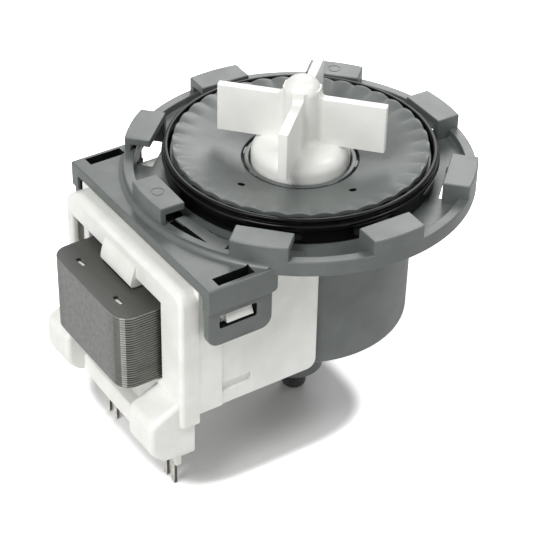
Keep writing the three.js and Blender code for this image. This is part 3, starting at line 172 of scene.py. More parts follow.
class Shape:
    """A closed shape in the making, in millimetres."""

    def __init__(self, mesh: bmesh.types.BMesh) -> None:
        """Takes over a mesh and points its faces outwards."""
        self.bm = mesh
        bmesh.ops.remove_doubles(mesh, verts=mesh.verts, dist=WELD)
        bmesh.ops.recalc_face_normals(mesh, faces=mesh.faces)

    @classmethod
    def block(cls, x: Span, y: Span, z: Span) -> Shape:
        """Makes a box between two values on each axis."""
        shape = bmesh.new()
        bmesh.ops.create_cube(shape, size=1.0)
        size = [span[1] - span[0] for span in (x, y, z)]
        middle = [(span[1] + span[0]) / 2 for span in (x, y, z)]
        bmesh.ops.scale(shape, vec=size, verts=shape.verts)
        bmesh.ops.translate(shape, vec=middle, verts=shape.verts)
        return cls(shape)

    @classmethod
    def prism(cls, outline: Outline, span: Span, axis: Axis = Axis.Z, steps: int = CORNER_STEPS) -> Shape:
        """Extrudes an outline.

        Args:
            outline: Corners in the plane across the axis, (y, z), (x, z) or (x, y).
            span: Start and end along the axis.
            axis: Direction of the extrusion.
            steps: Segments of each rounded corner.

        Returns:
            The solid.
        """
        shape = flat_face(outline, steps)
        made = bmesh.ops.extrude_face_region(shape, geom=list(shape.faces))
        moved = [item for item in made["geom"] if isinstance(item, bmesh.types.BMVert)]
        bmesh.ops.translate(shape, vec=(0, 0, span[1] - span[0]), verts=moved)
        bmesh.ops.translate(shape, vec=(0, 0, span[0]), verts=shape.verts)
        bmesh.ops.transform(shape, matrix=axis.value, verts=shape.verts)
        return cls(shape)

    @classmethod
    def spun(
        cls, profile: Outline, steps: int = FINE_STEPS, start: float = 0.0, sweep: float = FULL_TURN,
        corner: int = CORNER_STEPS,
    ) -> Shape:
        """Revolves a profile of (radius, height) corners about the rotor's axis.

        Args:
            profile: Closed profile, listed in order.
            steps: Segments of the sweep.
            start: Angle of the first section in degrees.
            sweep: Angle that the profile turns through in degrees.
            corner: Segments of each rounded corner.

        Returns:
            The solid.
        """
        shape = flat_face(profile, corner)
        bmesh.ops.transform(shape, matrix=Axis.Y.value, verts=shape.verts)
        bmesh.ops.rotate(shape, matrix=Matrix.Rotation(math.radians(start), 3, "Z"), verts=shape.verts)
        whole = sweep == FULL_TURN
        if whole:
            bmesh.ops.delete(shape, geom=list(shape.faces), context="FACES_ONLY")
            inside = [e for e in shape.edges if all(v.co.xy.length < ON_AXIS for v in e.verts)]
            bmesh.ops.delete(shape, geom=inside, context="EDGES")
        bmesh.ops.spin(
            shape, geom=[*shape.faces, *shape.edges, *shape.verts], cent=(0, 0, 0), axis=(0, 0, 1),
            angle=math.radians(sweep), steps=steps, use_merge=whole,
        )
        return cls(shape)

    @classmethod
    def rod(cls, radius: float, z: Span, steps: int = SMALL_STEPS) -> Shape:
        """Makes a cylinder about the rotor's axis."""
        return cls.spun([(0, z[0]), (radius, z[0]), (radius, z[1]), (0, z[1])], steps)

    @classmethod
    def raw(cls, mesh: bmesh.types.BMesh) -> Shape:
        """Takes over a mesh as it is."""
        shape = cls.__new__(cls)
        shape.bm = mesh
        return shape

    def copy(self) -> Shape:
        """Makes a copy."""
        return Shape(self.bm.copy())

    def moved(self, x: float = 0.0, y: float = 0.0, z: float = 0.0) -> Shape:
        """Moves the shape."""
        bmesh.ops.translate(self.bm, vec=(x, y, z), verts=self.bm.verts)
        return self

    def turned(self, angle: float, axis: str = "Z", centre: Sequence[float] = (0, 0, 0)) -> Shape:
        """Turns the shape about an axis through a centre, by an angle in degrees."""
        matrix = Matrix.Rotation(math.radians(angle), 3, axis)
        bmesh.ops.rotate(self.bm, cent=centre, matrix=matrix, verts=self.bm.verts)
        return self

    def mirrored(self) -> Shape:
        """Makes a mirror image on the other side of the plane Y = 0."""
        twin = self.bm.copy()
        bmesh.ops.scale(twin, vec=(1, -1, 1), verts=twin.verts)
        return Shape(twin)

    def flat_merged(self) -> Shape:
        """Takes out the edges between faces that lie in one plane."""
        bmesh.ops.dissolve_limit(
            self.bm, angle_limit=math.radians(SAME_PLANE), verts=self.bm.verts, edges=self.bm.edges
        )
        return self

    def softened(
        self, width: float, where: Where | None = None, steps: int = 3, angle: float = 30.0
    ) -> Shape:
        """Rounds edges, as in a mould.

        Args:
            width: Width of the rounding on each side of an edge.
            where: Test of an edge's middle and direction, or None for every edge.
            steps: Segments across the rounding.
            angle: Only edges sharper than this many degrees are rounded.

        Returns:
            The same shape.
        """
        chosen = []
        for edge in self.bm.edges:
            if len(edge.link_faces) != 2 or edge.calc_face_angle(0.0) < math.radians(angle):
                continue
            first, last = (vert.co for vert in edge.verts)
            if where is None or where((first + last) / 2, (last - first).normalized()):
                chosen.append(edge)
        bmesh.ops.bevel(
            self.bm, geom=chosen, offset=width, offset_type="OFFSET", segments=steps, profile=0.5,
            affect="EDGES", clamp_overlap=True, material=-1,
        )
        bmesh.ops.remove_doubles(self.bm, verts=self.bm.verts, dist=WELD)
        return self

    def _object(self) -> bpy.types.Object:
        """Links the shape as a temporary object."""
        mesh = bpy.data.meshes.new("shape")
        self.bm.to_mesh(mesh)
        return linked("shape", mesh)

    def _joined(self, how: Join, others: Sequence[Shape]) -> Shape:
        """Joins other shapes to this one and gives the result."""
        base = self._object()
        tools = [other._object() for other in others]
        for tool in tools:
            step = base.modifiers.new("join", "BOOLEAN")
            step.operation = how.value
            step.solver = "MANIFOLD"
            step.object = tool
        evaluated = base.evaluated_get(bpy.context.evaluated_depsgraph_get())
        result = bmesh.new()
        result.from_mesh(evaluated.to_mesh())
        evaluated.to_mesh_clear()
        for used in (base, *tools):
            mesh = used.data
            bpy.data.objects.remove(used)
            bpy.data.meshes.remove(mesh)
        joined = Shape(result)
        if not joined.bm.faces:
            LOG.warning("a %s left nothing", how.name)
        return joined

    def add(self, *others: Shape) -> Shape:
        """Unites the shape with others."""
        return self._joined(Join.ADD, others)

    def cut(self, *others: Shape) -> Shape:
        """Cuts others out of the shape."""
        return self._joined(Join.CUT, others)

    def keep(self, *others: Shape) -> Shape:
        """Keeps what lies in the shape and in all the others."""
        return self._joined(Join.KEEP, others)


def linear(colour: str) -> tuple[float, float, float, float]:
    """Turns an sRGB hex colour such as #8b8e8c to linear RGBA."""
    parts = [int(colour[i : i + 2], 16) / 255 for i in (1, 3, 5)]
    red, green, blue = (p / 12.92 if p <= 0.04045 else ((p + 0.055) / 1.055) ** 2.4 for p in parts)
    return red, green, blue, 1.0


def add_node(
    tree: bpy.types.NodeTree, kind: str, inputs: dict[str | int, object] | None = None, **settings: object
) -> bpy.types.Node:
    """Adds a node with its settings and links.

    Args:
        tree: Tree that gets the node.
        kind: Blender's type name of the node.
        inputs: For each input, by name or number, a value or the socket that feeds it.
        settings: Properties of the node.

    Returns:
        The new node.
    """
    node = tree.nodes.new(kind)
    for name, value in settings.items():
        setattr(node, name, value)
    for name, value in (inputs or {}).items():
        if isinstance(value, bpy.types.NodeSocket):
            tree.links.new(value, node.inputs[name])
        else:
            node.inputs[name].default_value = value
    return node


@dataclass(frozen=True)
class Finish:
    """Surface of one material: two close colours in soft patches, a fine grain, and its gloss. Some finishes
    hold painted shade, a painted glint or a painted sheen, as their comments say.

    Sizes of patches, grain and lines are in millimetres.
    """

    name: str
    colour: str
    patch_colour: str
    roughness: float
    roughness_swing: float = 0.06
    metallic: float = 0.0
    ior: float = 1.5
    patch: float = 9.0
    stretch: tuple[float, float, float] = (1.0, 1.0, 1.0)
    grain: float = 0.5
    grain_depth: float = 0.008
    grain_strength: float = 0.4
    sheet: float = 0.0
    sheet_start: float = 0.0
    subsurface: float = 0.0
    specular: float = 0.5

    def material(self) -> bpy.types.Material:
        """Builds the material, or gives the one built before."""
        known = bpy.data.materials.get(self.name)
        if known:
            return known
        made = bpy.data.materials.new(self.name)
        tree = empty_tree(made)
        place = add_node(tree, "ShaderNodeTexCoord").outputs["Object"]
        drawn = add_node(tree, "ShaderNodeMapping", {"Vector": place, "Scale": self.stretch}).outputs[0]
        patches = add_node(
            tree, "ShaderNodeTexNoise",
            {"Vector": drawn, "Scale": 1 / (self.patch * MM), "Detail": 3.0, "Roughness": 0.55},
        ).outputs[0]
        share = add_node(
            tree, "ShaderNodeMapRange", {0: patches, 1: PATCH_EDGES[0], 2: PATCH_EDGES[1]},
            interpolation_type="SMOOTHSTEP",
        ).outputs[0]
        if self.sheet:
            share = self._sheets(tree, place, share)
        colour = add_node(
            tree, "ShaderNodeMix", {0: share, 6: linear(self.colour), 7: linear(self.patch_colour)},
            data_type="RGBA",
        ).outputs[2]
        grains = add_node(
            tree, "ShaderNodeTexNoise", {"Vector": drawn, "Scale": 1 / (self.grain * MM), "Detail": 2.0}
        ).outputs[0]
        rough = add_node(
            tree, "ShaderNodeMapRange",
            {0: patches, 3: self.roughness - self.roughness_swing, 4: self.roughness + self.roughness_swing},
        ).outputs[0]
        bump = add_node(
            tree, "ShaderNodeBump",
            {"Height": grains, "Strength": self.grain_strength, "Distance": self.grain_depth * MM},
        ).outputs[0]
        shader = add_node(
            tree, "ShaderNodeBsdfPrincipled",
            {
                "Base Color": colour, "Roughness": rough, "Normal": bump, "Metallic": self.metallic,
                "IOR": self.ior, "Subsurface Weight": self.subsurface,
                "Subsurface Radius": SCATTER, "Subsurface Scale": SCATTER_DEPTH * MM,
                "Specular IOR Level": self.specular,
            },
        )
        add_node(tree, "ShaderNodeOutputMaterial", {"Surface": shader.outputs[0]})
        made.diffuse_color = linear(self.colour)
        return made

    def _sheets(
        self, tree: bpy.types.NodeTree, place: bpy.types.NodeSocket, share: bpy.types.NodeSocket
    ) -> bpy.types.NodeSocket:
        """Draws a stack's sheets along Z: a painted highlight on each upper edge, a dark joint, and a tone of
        their own.

        Args:
            tree: Tree that gets the nodes.
            place: Coordinates in the object.
            share: Share of the patch colour without the sheets.

        Returns:
            Share of the patch colour: 0 on the painted highlights, 1 in the joints.
        """
        number = add_node(tree, "ShaderNodeSeparateXYZ", {0: place}).outputs[2]
        for value, how in ((self.sheet_start * MM, "SUBTRACT"), (self.sheet * MM, "DIVIDE")):
            number = add_node(tree, "ShaderNodeMath", {0: number, 1: value}, operation=how).outputs[0]
        whole, part = (
            add_node(tree, "ShaderNodeMath", {0: number}, operation=how).outputs[0]
            for how in ("FLOOR", "FRACT")
        )
        joint = add_node(
            tree, "ShaderNodeMapRange", {0: part, 1: JOINT_FADE[0], 2: JOINT_FADE[1], 3: 1.0, 4: 0.0},
            interpolation_type="SMOOTHSTEP",
        ).outputs[0]
        worn = add_node(tree, "ShaderNodeTexWhiteNoise", {"W": whole}, noise_dimensions="1D").outputs[0]
        for value in (share, TONE_SHARE):
            worn = add_node(tree, "ShaderNodeMath", {0: value, 1: worn}, operation="MULTIPLY").outputs[0]
        return add_node(tree, "ShaderNodeMath", {0: joint, 1: worn}, operation="MAXIMUM").outputs[0]


# Injection-moulded polypropylene with talc: an even satin with faint flow patches.
GREY_PLASTIC = Finish("moulded_grey_polypropylene", "#5f6462", "#585d5b", 0.38, patch=7.0, grain_strength=0.9)
# Near-black painted shade for the walls deep in slots, windows and holes, where little light gets in; the
# moulding itself is the grey above.
PAINTED_SHADE_PLASTIC = Finish("painted_shade_grey_polypropylene", "#0e0f0f", "#131414", 0.7, patch=3.0, specular=0.1)
# Injection-moulded PBT polyester: a clean white satin, faintly cloudy.
WHITE_PLASTIC = Finish(
    "moulded_white_pbt", "#e9e9e5", "#e3e3de", 0.42, patch=6.0, grain_strength=0.25, subsurface=0.06
)
# Acetal of the impeller: brighter and smoother than the housing, and a little see-through at thin edges.
WHITE_ACETAL = Finish(
    "moulded_white_acetal", "#ebebe7", "#e6e6e2", 0.35, patch=8.0, grain_strength=0.15, subsurface=0.12
)
# EPDM rubber from a polished mould, wiped with silicone grease, so thin streaks shine on deep black.
BLACK_RUBBER = Finish(
    "moulded_black_epdm", "#080808", "#0b0b0b", 0.15, patch=5.0, grain=0.8, grain_strength=0.1, specular=0.12
)
# Rubber of the foot plug: dry and dull.
DULL_RUBBER = Finish("dry_black_rubber", "#1c1c1c", "#262626", 0.6, patch=3.0)
# Electrical steel, varnished: the flat of the top sheet is dark and even.
VARNISHED_STEEL = Finish(
    "varnished_electrical_steel", "#42423f", "#4a4a47", 0.5, metallic=0.1, patch=5.0, stretch=(1, 0.2, 1),
    grain_strength=0.3,
)
# Punched edges of the sheets: a painted highlight along each upper edge where it would catch the light, and a
# dark joint under it, line by line.
SHEET_EDGES = Finish(
    "punched_sheet_edges", "#85857f", "#1e1e1d", 0.24, metallic=0.7, patch=3.0, sheet=0.66,
    sheet_start=34.5, grain_strength=0.2,
)
# The same edges with a paler strip round the corner: a painted glint where the rounded corner catches the
# light.
GLINT_PAINTED_EDGES = Finish(
    "sheet_edges_painted_glint", "#b2b2ae", "#5c5c59", 0.35, metallic=0.3, patch=2.0, sheet=0.66,
    sheet_start=34.5, grain_strength=0.2,
)
# The yoke's end shows no lines between the sheets, and is painted paler for the sheen that the end face
# catches.
END_STEEL_PAINTED_SHEEN = Finish(
    "yoke_end_painted_sheen", "#767674", "#6a6a68", 0.5, metallic=0.1, patch=1.2, grain=0.35, grain_strength=0.9
)
# Bare bright metal where the interlock was pushed through.
BRIGHT_STEEL = Finish("sheared_bright_steel", "#e4e4e2", "#c8c8c6", 0.25, metallic=0.9, patch=1.0)
# Brass strip with tin plating: pale and bright on its flats.
TIN_PLATE = Finish("tin_plate", "#dcdad4", "#b8b6b0", 0.3, metallic=0.9, patch=1.2, grain=0.2)
# The strip's punched sides, dark with oxide, which outline each prong.
PUNCHED_BRASS = Finish(
    "oxidised_punched_brass", "#66645e", "#504e48", 0.4, metallic=0.8, patch=1.0, grain=0.2
)
# Enamelled copper wire, wound in layers.
COPPER_WIRE = Finish(
    "enamelled_copper", "#a4532b", "#8a4220", 0.35, metallic=0.7, patch=1.0, grain=0.35, grain_strength=0.9
)
# Unfilled nylon: creamy and a little see-through.
NYLON = Finish("natural_nylon", "#dcd5c0", "#d0c8b0", 0.5, patch=4.0, subsurface=0.1)
# Ground stainless shaft: bright, with fine marks round it.
GROUND_STEEL = Finish(
    "ground_stainless_steel", "#c6c8ca", "#b4b6b8", 0.22, metallic=1.0, patch=0.6, stretch=(1, 1, 6)
)
# Sintered ferrite: matt charcoal with fine pits.
FERRITE = Finish("sintered_ferrite", "#2c2c2e", "#353537", 0.6, patch=1.2, grain=0.3, grain_strength=0.7)
# Pressed graphite: soft dark sheen.
GRAPHITE = Finish("pressed_graphite", "#3a3b3d", "#45464a", 0.5, metallic=0.2, patch=0.8, grain=0.2)


@dataclass(frozen=True)
class Piece:
    """What a finished shape is: its name, its finish, and the CAD node that it stands for."""

    name: str
    finish: Finish
    slot: str
    replaces: tuple[str, ...] = ()
    body: Body = Body.HOUSING
    crease: float = 32.0
    # The second finish below is near-black painted shade, laid on the faces in the boxes after it.
    painted_shade: Finish | None = None
    painted_shade_boxes: tuple[Box, ...] = ()

    def paint_shade(self, mesh: bpy.types.Mesh) -> None:
        """Paints shade: gives the faces whose middle lies in one of the shade boxes the near-black second
        finish.
        """
        mesh.materials.append(self.painted_shade.material())
        for face in mesh.polygons:
            middle = [value / MM for value in face.center]
            for box in self.painted_shade_boxes:
                if all(low < value < high for value, (low, high) in zip(middle, box)):
                    face.material_index = 1  # the painted shade finish

    def make(self, shape: Shape) -> bpy.types.Object:
        """Turns a shape into an object of the scene.

        Args:
            shape: The finished shape, in millimetres.

        Returns:
            The object, riding on its body.
        """
        mesh = bpy.data.meshes.new(self.name)
        bmesh.ops.scale(shape.bm, vec=(MM, MM, MM), verts=shape.bm.verts)
        shape.bm.to_mesh(mesh)
        shape.bm.free()
        mesh.shade_smooth()
        mesh.set_sharp_from_angle(angle=math.radians(self.crease))
        mesh.materials.append(self.finish.material())
        if self.painted_shade:
            self.paint_shade(mesh)
        made = linked(self.name, mesh)
        normals = made.modifiers.new("even_shading", "WEIGHTED_NORMAL")
        normals.keep_sharp = True
        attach(made, self.body.value)
        if self.replaces:
            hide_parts(*self.replaces)
        LOG.info("%s: %d faces on %s", self.name, len(mesh.polygons), self.body.value)
        return made


@dataclass
class PumpBody:
    """Grey moulding: bayonet flange, gasket spigot, bracket with clip arms, cup, rotor chamber and boss."""

    radius: float = 42.0
    underside: float = 64.6
    floor: float = 66.4
    rim_top: float = 68.4
    rim_inner: float = 39.5
    spigot_outer: float = 31.0
    spigot_inner: float = 28.6
    spigot_top: float = 71.2
    deck_bottom: float = 63.6
    deck_top: float = 64.8
    edge: float = 0.3
    hook_phase: float = -2.1
    hook_count: int = 8
    hook_inner: float = 35.1
    hook_half_width: float = 6.75
    hook_top: float = 72.0
    hook_roof: float = 2.0
    hook_wall: float = 2.1
    hook_stop: float = 2.0
    hook_inset: float = 0.03
    hook_cuts: int = 9
    window_x: Span = (33.9, 39.3)
    window_overrun: float = 2.4
    tongue_overrun: float = 1.5
    tongue_middle: float = 36.3
    tongue_top: float = 67.4
    tongue_hook: int = 4
    pocket_floor: float = 63.9
    plate_end: float = 44.9
    plate_half_width: float = 31.1
    ear_start: float = 28.0
    arm_inner: float = 28.2
    arm_step: float = 59.9
    arm_outer: float = 30.3
    arm_bottom: float = 50.0
    arm_skin: float = 0.9
    clip_x: Span = (-41.7, -31.9)
    clip_slot_end: float = -32.3
    clip_slot_y: Span = (-30.0, -27.1)
    clip_window: Span = (54.7, 58.2)
    cup_radius: float = 27.6
    cup_wall: float = 1.8
    cup_bottom: float = 28.0
    seam: float = 11.7
    boss_radius: float = 7.3
    boss_bottom: float = 7.0
    chamber_inner: float = 10.2
    chamber_outer: float = 11.2
    chamber_floor: float = 29.8
    bearing_hole: float = 5.3
    bearing_floor: float = 22.0
    shaft_hole: float = 3.6
    shaft_floor: float = 14.6
    stem_hole: float = 2.5

    def hook_angles(self) -> list[float]:
        """Gives the hooks' angles in degrees."""
        return [self.hook_phase + FULL_TURN / self.hook_count * i for i in range(self.hook_count)]

    def ring(self) -> Shape:
        """Makes the flange ring with its rim and the gasket's spigot."""
        return Shape.spun([
            (self.radius, self.underside, 0.35), (self.radius, self.rim_top, 0.35),
            (self.rim_inner, self.rim_top, 0.25), (self.rim_inner, self.floor, 0.5),
            (self.spigot_outer, self.floor, 0.5), (self.spigot_outer, self.spigot_top, 0.25),
            (self.spigot_inner, self.spigot_top, 0.25), (self.spigot_inner, self.deck_bottom),
            (self.spigot_outer + 2.4, self.deck_bottom, 0.3),
            (self.spigot_outer + 2.4, self.underside, 0.3),
        ])

    def hook(self, angle: float) -> Shape:
        """Makes the bayonet hook at an angle: a roof, an outer wall and the wall that stops one end."""
        outer = self.radius - self.hook_inset
        half = self.hook_half_width
        z = (self.underside + self.edge, self.hook_top)
        block = Shape.block((self.hook_inner, outer), (-half, half), z)
        across = [
            edge
            for edge in block.bm.edges
            if all(vert.co.x > outer - WELD for vert in edge.verts)
            and abs(edge.verts[0].co.y - edge.verts[1].co.y) > half
        ]
        bmesh.ops.subdivide_edges(block.bm, edges=across, cuts=self.hook_cuts)
        for vert in block.bm.verts:
            if vert.co.x > outer - WELD:
                vert.co.x = math.sqrt(outer**2 - vert.co.y**2)
        room = Shape.block(
            (self.hook_inner - 1, self.radius - self.hook_wall), (-half + self.hook_stop, half + 1),
            (self.underside - 1, self.hook_top - self.hook_roof),
        )
        return block.cut(room).flat_merged().softened(self.edge).turned(angle)

    def window(self, angle: float) -> Shape:
        """Makes the cutter of the window under a hook; over the motor's frame it is a blind pocket."""
        y = (-self.hook_half_width + self.hook_stop, self.hook_half_width + self.window_overrun)
        blind = angle == self.hook_angles()[self.tongue_hook]
        low = self.pocket_floor if blind else self.deck_bottom - 1
        window = Shape.block(self.window_x, y, (low, self.floor + 0.55))
        return window.softened(0.3, lambda _, way: abs(way.z) > ALONG).turned(angle)

    def tongue_tip(self) -> float:
        """Gives the angle of the tongue's free end in degrees."""
        turn = math.atan2(self.hook_half_width + self.tongue_overrun, self.tongue_middle)
        return self.hook_angles()[self.tongue_hook] + math.degrees(turn)

    def tongue_edge(self) -> list[tuple[float, float]]:
        """Gives the tongue's inner edge, from its free end to its root."""
        tip = self.tongue_tip()
        places = ((35.0, -4.0), (35.0, 0.0), (36.4, 15.5), (36.4, 20.0))
        return [on_circle(radius, tip + along) for radius, along in places]

    def tongue_rise(self) -> Shape:
        """Makes the stretch of floor that is raised to the tongue's height."""
        tip = self.tongue_tip()
        outline = [*self.tongue_edge(), *(on_circle(42.5, tip + along) for along in (20, 12, 4, -4))]
        rise = Shape.prism(outline, (self.underside + 0.1, self.tongue_top))
        return rise.keep(Shape.rod(40.7, HEIGHTS, FINE_STEPS))

    def rim_step(self) -> Shape:
        """Makes the cutter that lowers the rim beside the tongue."""
        start, end = self.hook_angles()[self.tongue_hook : self.tongue_hook + 2]
        profile = [(38.5, self.tongue_top), (43, self.tongue_top), (43, 70), (38.5, 70)]
        return Shape.spun(profile, 24, start, end - start)

    def tongue_slits(self) -> list[Shape]:
        """Makes the cutters of the two slits beside the tongue."""
        tip = self.tongue_tip()
        z = (self.pocket_floor, self.rim_top + 1)
        outside = [on_circle(44, tip + along) for along in (12.5, 6, 1, -4)]
        places = ((37.5, -4), (37.6, 1), (self.rim_inner, 13.5))
        within = [on_circle(radius, tip + along) for radius, along in places]
        wedge = Shape.prism([*within, *outside], z)
        inside = [on_circle(31.6, tip + along) for along in (20, 12, 4, -4)]
        slit = Shape.prism([*self.tongue_edge(), *inside], z)
        return [
            wedge.keep(Shape.rod(self.rim_inner, HEIGHTS, FINE_STEPS)),
            slit.cut(Shape.rod(34.3, HEIGHTS, FINE_STEPS)),
        ]

    def bracket(self) -> Shape:
        """Makes the bracket plate with its two ears and the thick upper parts of the clip arms."""
        side, inner = self.plate_half_width, self.arm_inner
        outline = [
            (-side, self.arm_step, 0.3), (-side, self.floor, 0.5), (side, self.floor, 0.5),
            (side, self.arm_step, 0.3), (inner, self.arm_step, 0.3), (inner, self.deck_bottom, 0.6),
            (-inner, self.deck_bottom, 0.6), (-inner, self.arm_step, 0.3),
        ]
        plate = Shape.prism(outline, (-self.plate_end, -self.ear_start), Axis.X).softened(0.4)
        hole = Shape.rod(self.spigot_inner + 1.2, (50, 80), FINE_STEPS)
        corner = [
            (-40, self.arm_step, 0.4), (-26.8, self.arm_step, 1.2), (-26.8, 65.4, 0.8), (-40, 65.4, 0.4),
        ]
        end = Shape.prism(corner, (-side, -inner), Axis.Y)
        end.softened(0.3, lambda at, _: abs(at.y + side) < ON_PLANE)
        return plate.cut(hole).add(end, end.mirrored())

    def arm(self) -> Shape:
        """Makes the lower part of the clip arm on the -Y side."""
        left, right = -self.plate_end + 0.3, -self.ear_start + 0.3
        outline = [(left, 62), (left, self.arm_bottom, 3.0), (right, self.arm_bottom, 3.0), (right, 62)]
        arm = Shape.prism(outline, (-self.arm_outer, -self.arm_inner), Axis.Y, 8)
        return arm.softened(0.4, lambda at, _: at.z < 61.9)

    def arm_cuts(self) -> Shape:
        """Makes the cutter of the window in the arm and of the slot above it."""
        x, inner = self.clip_x, -self.arm_inner + 1
        slot = Shape.block((x[0], self.clip_slot_end), self.clip_slot_y, (self.arm_step, self.floor + 2.5))
        z = (self.clip_window[0], self.arm_step + 1)
        pocket = Shape.block(x, (-self.arm_outer + self.arm_skin, inner), z)
        window = Shape.block(x, (-self.plate_half_width - 1, inner), self.clip_window)
        window.softened(0.5, lambda _, way: abs(way.y) > ALONG)
        return window.add(slot, pocket)

    def root_fillet(self) -> Shape:
        """Makes the soft blend between the ring's wall and the bracket plate."""
        top = self.floor
        profile = [(41.6, 65.9), (43.7, 65.9), (43.7, top), (42.0, top, 1.2), (42.0, 68.0), (41.6, 67.9)]
        return Shape.spun(profile, FINE_STEPS, corner=6).keep(
            Shape.block((-self.plate_end + 0.6, -self.ear_start - 0.5), (-30.6, 30.6), HEIGHTS)
        )

    def cup(self) -> Shape:
        """Makes the half-round cup behind the flange."""
        inner = self.cup_radius - self.cup_wall
        profile = [
            (10.7, self.cup_bottom), (self.cup_radius - 0.3, self.cup_bottom, 0.8),
            (self.cup_radius, self.deck_top), (inner, self.deck_top),
            (inner - 0.3, self.cup_bottom + self.cup_wall, 0.8), (10.7, self.cup_bottom + self.cup_wall),
        ]
        shell = Shape.spun(profile).keep(Shape.block((-self.seam, 40), (-40, 40), (20, 70)))
        return shell.softened(0.25, lambda at, _: abs(at.x + self.seam) < ON_PLANE)

    def chamber(self) -> Shape:
        """Makes the rotor chamber, its deck and the rear boss."""
        return Shape.spun([
            (29.8, self.deck_bottom), (29.8, self.deck_top), (self.chamber_inner, self.deck_top, 0.3),
            (self.chamber_inner, self.chamber_floor), (self.bearing_hole, self.chamber_floor, 0.2),
            (self.bearing_hole, self.bearing_floor), (self.shaft_hole, self.bearing_floor),
            (self.shaft_hole, self.shaft_floor), (self.stem_hole, self.shaft_floor),
            (self.stem_hole, self.boss_bottom, 0.3), (self.boss_radius, self.boss_bottom, 0.8),
            (self.boss_radius, self.cup_bottom, 0.8), (self.chamber_outer, self.cup_bottom),
            (self.chamber_outer, self.deck_bottom),
        ], SMALL_STEPS)

    def ejector_mark(self, x: float, y: float) -> Shape:
        """Makes the cutter of the shallow ring that an ejector pin leaves on a hook's roof."""
        z = self.hook_top
        ring = Shape.spun([(1.35, z - 0.1), (1.6, z - 0.1), (1.7, z + 0.3), (1.25, z + 0.3)], 32)
        return ring.moved(x, y)

    def painted_shade_boxes(self) -> tuple[Box, ...]:
        """Gives the boxes round the walls that get painted shade, where little light reaches: both clip slots
        and the tongue's pocket.
        """
        x = (self.clip_x[0] - MARGIN, self.clip_x[1] + MARGIN)
        z = (self.clip_window[0] - MARGIN, self.floor - 0.05)
        tongue = ((-40.0, -30.0), (-12.0, 22.0), (self.pocket_floor - 0.05, self.floor - 0.2))
        return (x, (-30.2, -27.0), z), (x, (27.0, 30.2), z), tongue

    def build(self) -> None:
        """Builds the moulding."""
        arm, cuts = self.arm(), self.arm_cuts()
        whole = self.ring().cut(self.rim_step())
        whole = whole.add(self.tongue_rise(), self.bracket(), arm, arm.mirrored())
        whole = whole.add(self.root_fillet(), self.cup(), self.chamber())
        whole = whole.add(*(self.hook(angle) for angle in self.hook_angles()))
        windows = [self.window(angle) for angle in self.hook_angles()]
        marks = [self.ejector_mark(*on_circle(38.4, self.hook_angles()[i])) for i in (1, 4)]
        whole = whole.cut(*windows, *self.tongue_slits(), cuts, cuts.mirrored(), *marks)
        # The faces in the shade boxes get the near-black painted shade.
        Piece(
            "pump_body_moulding", GREY_PLASTIC, "grey_plastic", ("pump_body",), painted_shade=PAINTED_SHADE_PLASTIC,
            painted_shade_boxes=self.painted_shade_boxes(),
        ).make(whole)


@dataclass
class FootPlug:
    """Black rubber plug in the rear boss, which the pump stands on."""

    radius: float = 3.2
    shoulder: float = 6.7
    stem_radius: float = 2.2
    stem_top: float = 12.0

    def build(self) -> None:
        """Builds the plug with its rounded end."""
        shape = Shape.spun([
            (0, 0), (self.radius, 0, 1.6), (self.radius, self.shoulder, 0.3),
            (self.stem_radius, self.shoulder, 0.2), (self.stem_radius, self.stem_top, 0.4),
            (0, self.stem_top),
        ], 64, corner=6)
        Piece("foot_plug", DULL_RUBBER, "black_rubber", ("rear_plug",)).make(shape)


